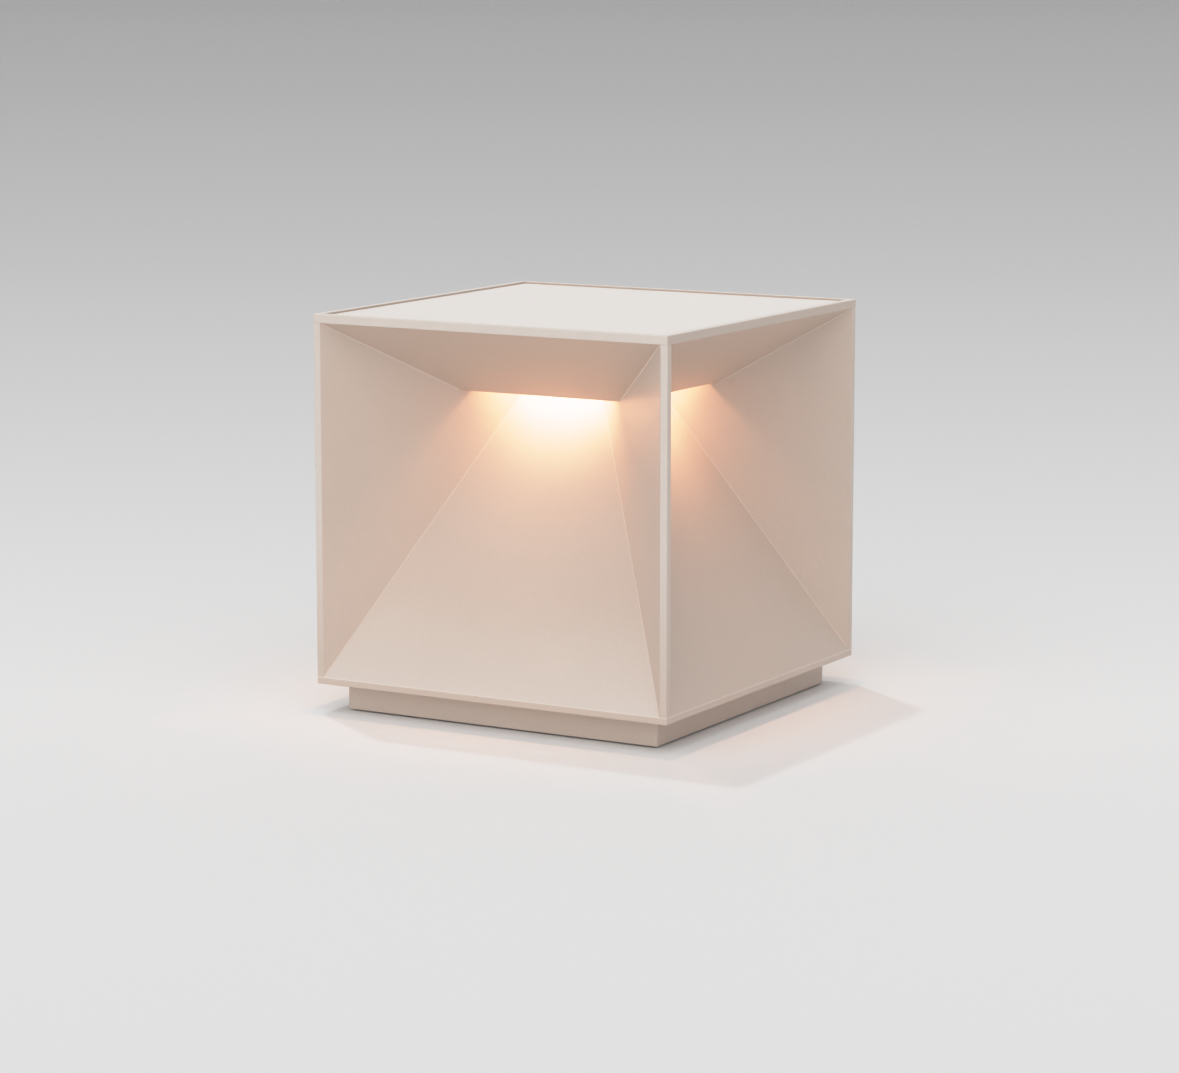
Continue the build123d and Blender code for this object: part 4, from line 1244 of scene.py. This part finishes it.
@dataclass(frozen=True)
class FilmCurve:
    """Straight tone up to a shoulder, then a soft roll-off to white.

    Green rolls off further than the other colours, so that bright lamplight stays peach and does not
    turn yellow.
    """

    shoulder: float = 0.6
    reach: float = 4.0
    places: tuple[float, ...] = (0.0, 0.6, 0.7, 0.85, 1.0, 1.2, 1.5, 1.9, 2.5, 4.0)
    green_from: float = 0.85
    green: tuple[tuple[float, float], ...] = (
        (0.0, 0.0),
        (0.85, 0.85),
        (1.2, 1.04),
        (1.5, 1.16),
        (1.9, 1.33),
        (2.5, 1.6),
        (4.0, 2.1),
    )

    def tone(self, level: float) -> float:
        """Shade a level of light.

        Args:
            level: The level of light in the scene.

        Returns:
            The shown tone, from 0 to 1.
        """
        room = 1.0 - self.shoulder
        over = max(level - self.shoulder, 0.0)
        return min(level, self.shoulder) + room * (1.0 - math.exp(-over / room))

    def load(self) -> None:
        """Set the curve as the scene's view."""
        view = bpy.context.scene.view_settings
        view.view_transform = "Standard"
        view.use_curve_mapping = True
        mapping = view.curve_mapping
        mapping.white_level = (self.reach,) * 3
        green = [(level / self.reach, held / self.reach) for level, held in self.green]
        every = [(level / self.reach, self.tone(level)) for level in self.places]
        self.trace(mapping.curves[Channel.GREEN.value], green, self.green_from / self.reach)
        self.trace(mapping.curves[Channel.ALL.value], every, 0.0)
        mapping.update()

    @staticmethod
    def trace(curve: bpy.types.CurveMap, stops: Sequence[tuple[float, float]], straight_to: float) -> None:
        """Lead a curve through its stops, straight at first and then rounded.

        Args:
            curve: The curve of one colour or of all.
            stops: Levels with their tones, in rising order.
            straight_to: The level up to which the stops are joined by straight lines.
        """
        while len(curve.points) < len(stops):
            curve.points.new(1.0, 1.0)
        for point, (level, tone) in zip(curve.points, stops):
            point.location = (level, tone)
            point.handle_type = "VECTOR" if level <= straight_to else "AUTO_CLAMPED"


@dataclass
class Studio:
    """Floor, soft light and the camera of the photograph."""

    floor_reach: float = 40.0
    floor_level: float = 0.8
    camera_place: Point = (0.698487, -1.206196, 0.291987)
    camera_heading: float = 30.0768
    camera_pitch: float = 9.3519
    lens: float = 113.12
    sensor: float = 36.0
    sight: float = 100.0
    softboxes: tuple[Softbox, ...] = (
        Softbox(0, 75, 1.2, falloff=12),
        Softbox(0, 50, 0.4),
        Softbox(60, 50, 0.88),
        Softbox(0, 12, 1.1),
        Softbox(180, 12, 0.77),
        Softbox(240, 12, 0.63),
    )
    sun: float = 0.55
    sun_from: Point = (-0.312, 0.213, 1.0)
    sun_angle: float = 2.5
    fade: tuple[tuple[float, float], ...] = (
        (-0.5, 0.94),
        (-0.2, 0.965),
        (0.0, 0.985),
        (0.208, 0.915),
        (0.495, 0.825),
        (0.905, 0.742),
        (1.89, 0.62),
        (2.62, 0.57),
        (4.96, 0.488),
        (12.7, 0.412),
    )

    def build(self) -> None:
        """Make the floor, the light and the camera."""
        self.lay_floor()
        self.light_room()
        self.hang_sun()
        self.set_camera()
        FilmCurve().load()

    def lay_floor(self) -> None:
        """Lay a wide floor under the feet."""
        mesh = bpy.data.meshes.new("studio_floor")
        reach = self.floor_reach
        corners = [(-reach, -reach, 0), (reach, -reach, 0), (reach, reach, 0), (-reach, reach, 0)]
        mesh.from_pydata(corners, [], [(0, 1, 2, 3)])
        floor = bpy.data.objects.new("studio_floor", mesh)
        # The floor's colour carries painted shade that darkens it away from the lamp.
        painted_floor_shade = PaintedShadeFloor("floor_painted_shade", self.floor_level, self.camera_heading, self.fade)
        mesh.materials.append(painted_floor_shade.make())
        bpy.context.scene.collection.objects.link(floor)

    def light_room(self) -> None:
        """Light the room with soft patches."""
        world = bpy.data.worlds.new("studio_room")
        world.use_nodes = True
        room = Graph(world.node_tree)
        room.tree.nodes.clear()
        way = room.node("ShaderNodeTexCoord").out("Generated")
        level: "Wire | float" = 0.0
        for box in self.softboxes:
            facing = room.node("ShaderNodeVectorMath", {"operation": "DOT_PRODUCT"}, {0: way, 1: box.way()})
            lit = room.larger(facing.out("Value"), 0.0) ** box.falloff
            level = lit * box.strength + level
        sky = room.node("ShaderNodeBackground", sockets={"Color": (1.0, 1.0, 1.0, 1.0), "Strength": level})
        room.node("ShaderNodeOutputWorld", sockets={"Surface": sky})
        bpy.context.scene.world = world

    def hang_sun(self) -> None:
        """Hang a small hard light high behind the lamp on the left."""
        data = bpy.data.lights.new("studio_key", "SUN")
        data.energy = self.sun
        data.angle = math.radians(self.sun_angle)
        key = bpy.data.objects.new("studio_key", data)
        key.rotation_euler = Vector(self.sun_from).to_track_quat("Z", "Y").to_euler()
        bpy.context.scene.collection.objects.link(key)

    def set_camera(self) -> None:
        """Place the camera as the perspective of the photograph gives it."""
        data = bpy.data.cameras.new("photo_camera")
        data.lens = self.lens
        data.sensor_width = self.sensor
        data.clip_end = self.sight
        camera = bpy.data.objects.new("photo_camera", data)
        camera.location = self.camera_place
        tilt, turn = math.radians(90.0 - self.camera_pitch), math.radians(self.camera_heading)
        camera.rotation_euler = (tilt, 0.0, turn)
        bpy.context.scene.collection.objects.link(camera)
        bpy.context.scene.camera = camera


def main() -> None:
    """Build and dress the lamp's sub-assemblies, then the studio, and report each piece."""
    logging.basicConfig(level=logging.INFO, format="%(message)s")
    finishes = {look: look.value.make() for look in Look}
    for group in (LightBody(), TopCover(), LightEngine(), Plinth(), Controls(), Battery()):
        for piece in group.build(finishes) + group.dress(finishes):
            faces, finish = len(piece.data.polygons), piece.data.materials[0].name
            LOG.info("%s: %s, %d faces, %s", type(group).__name__, piece.name, faces, finish)
    Studio().build()


if __name__ == "__main__":
    main()
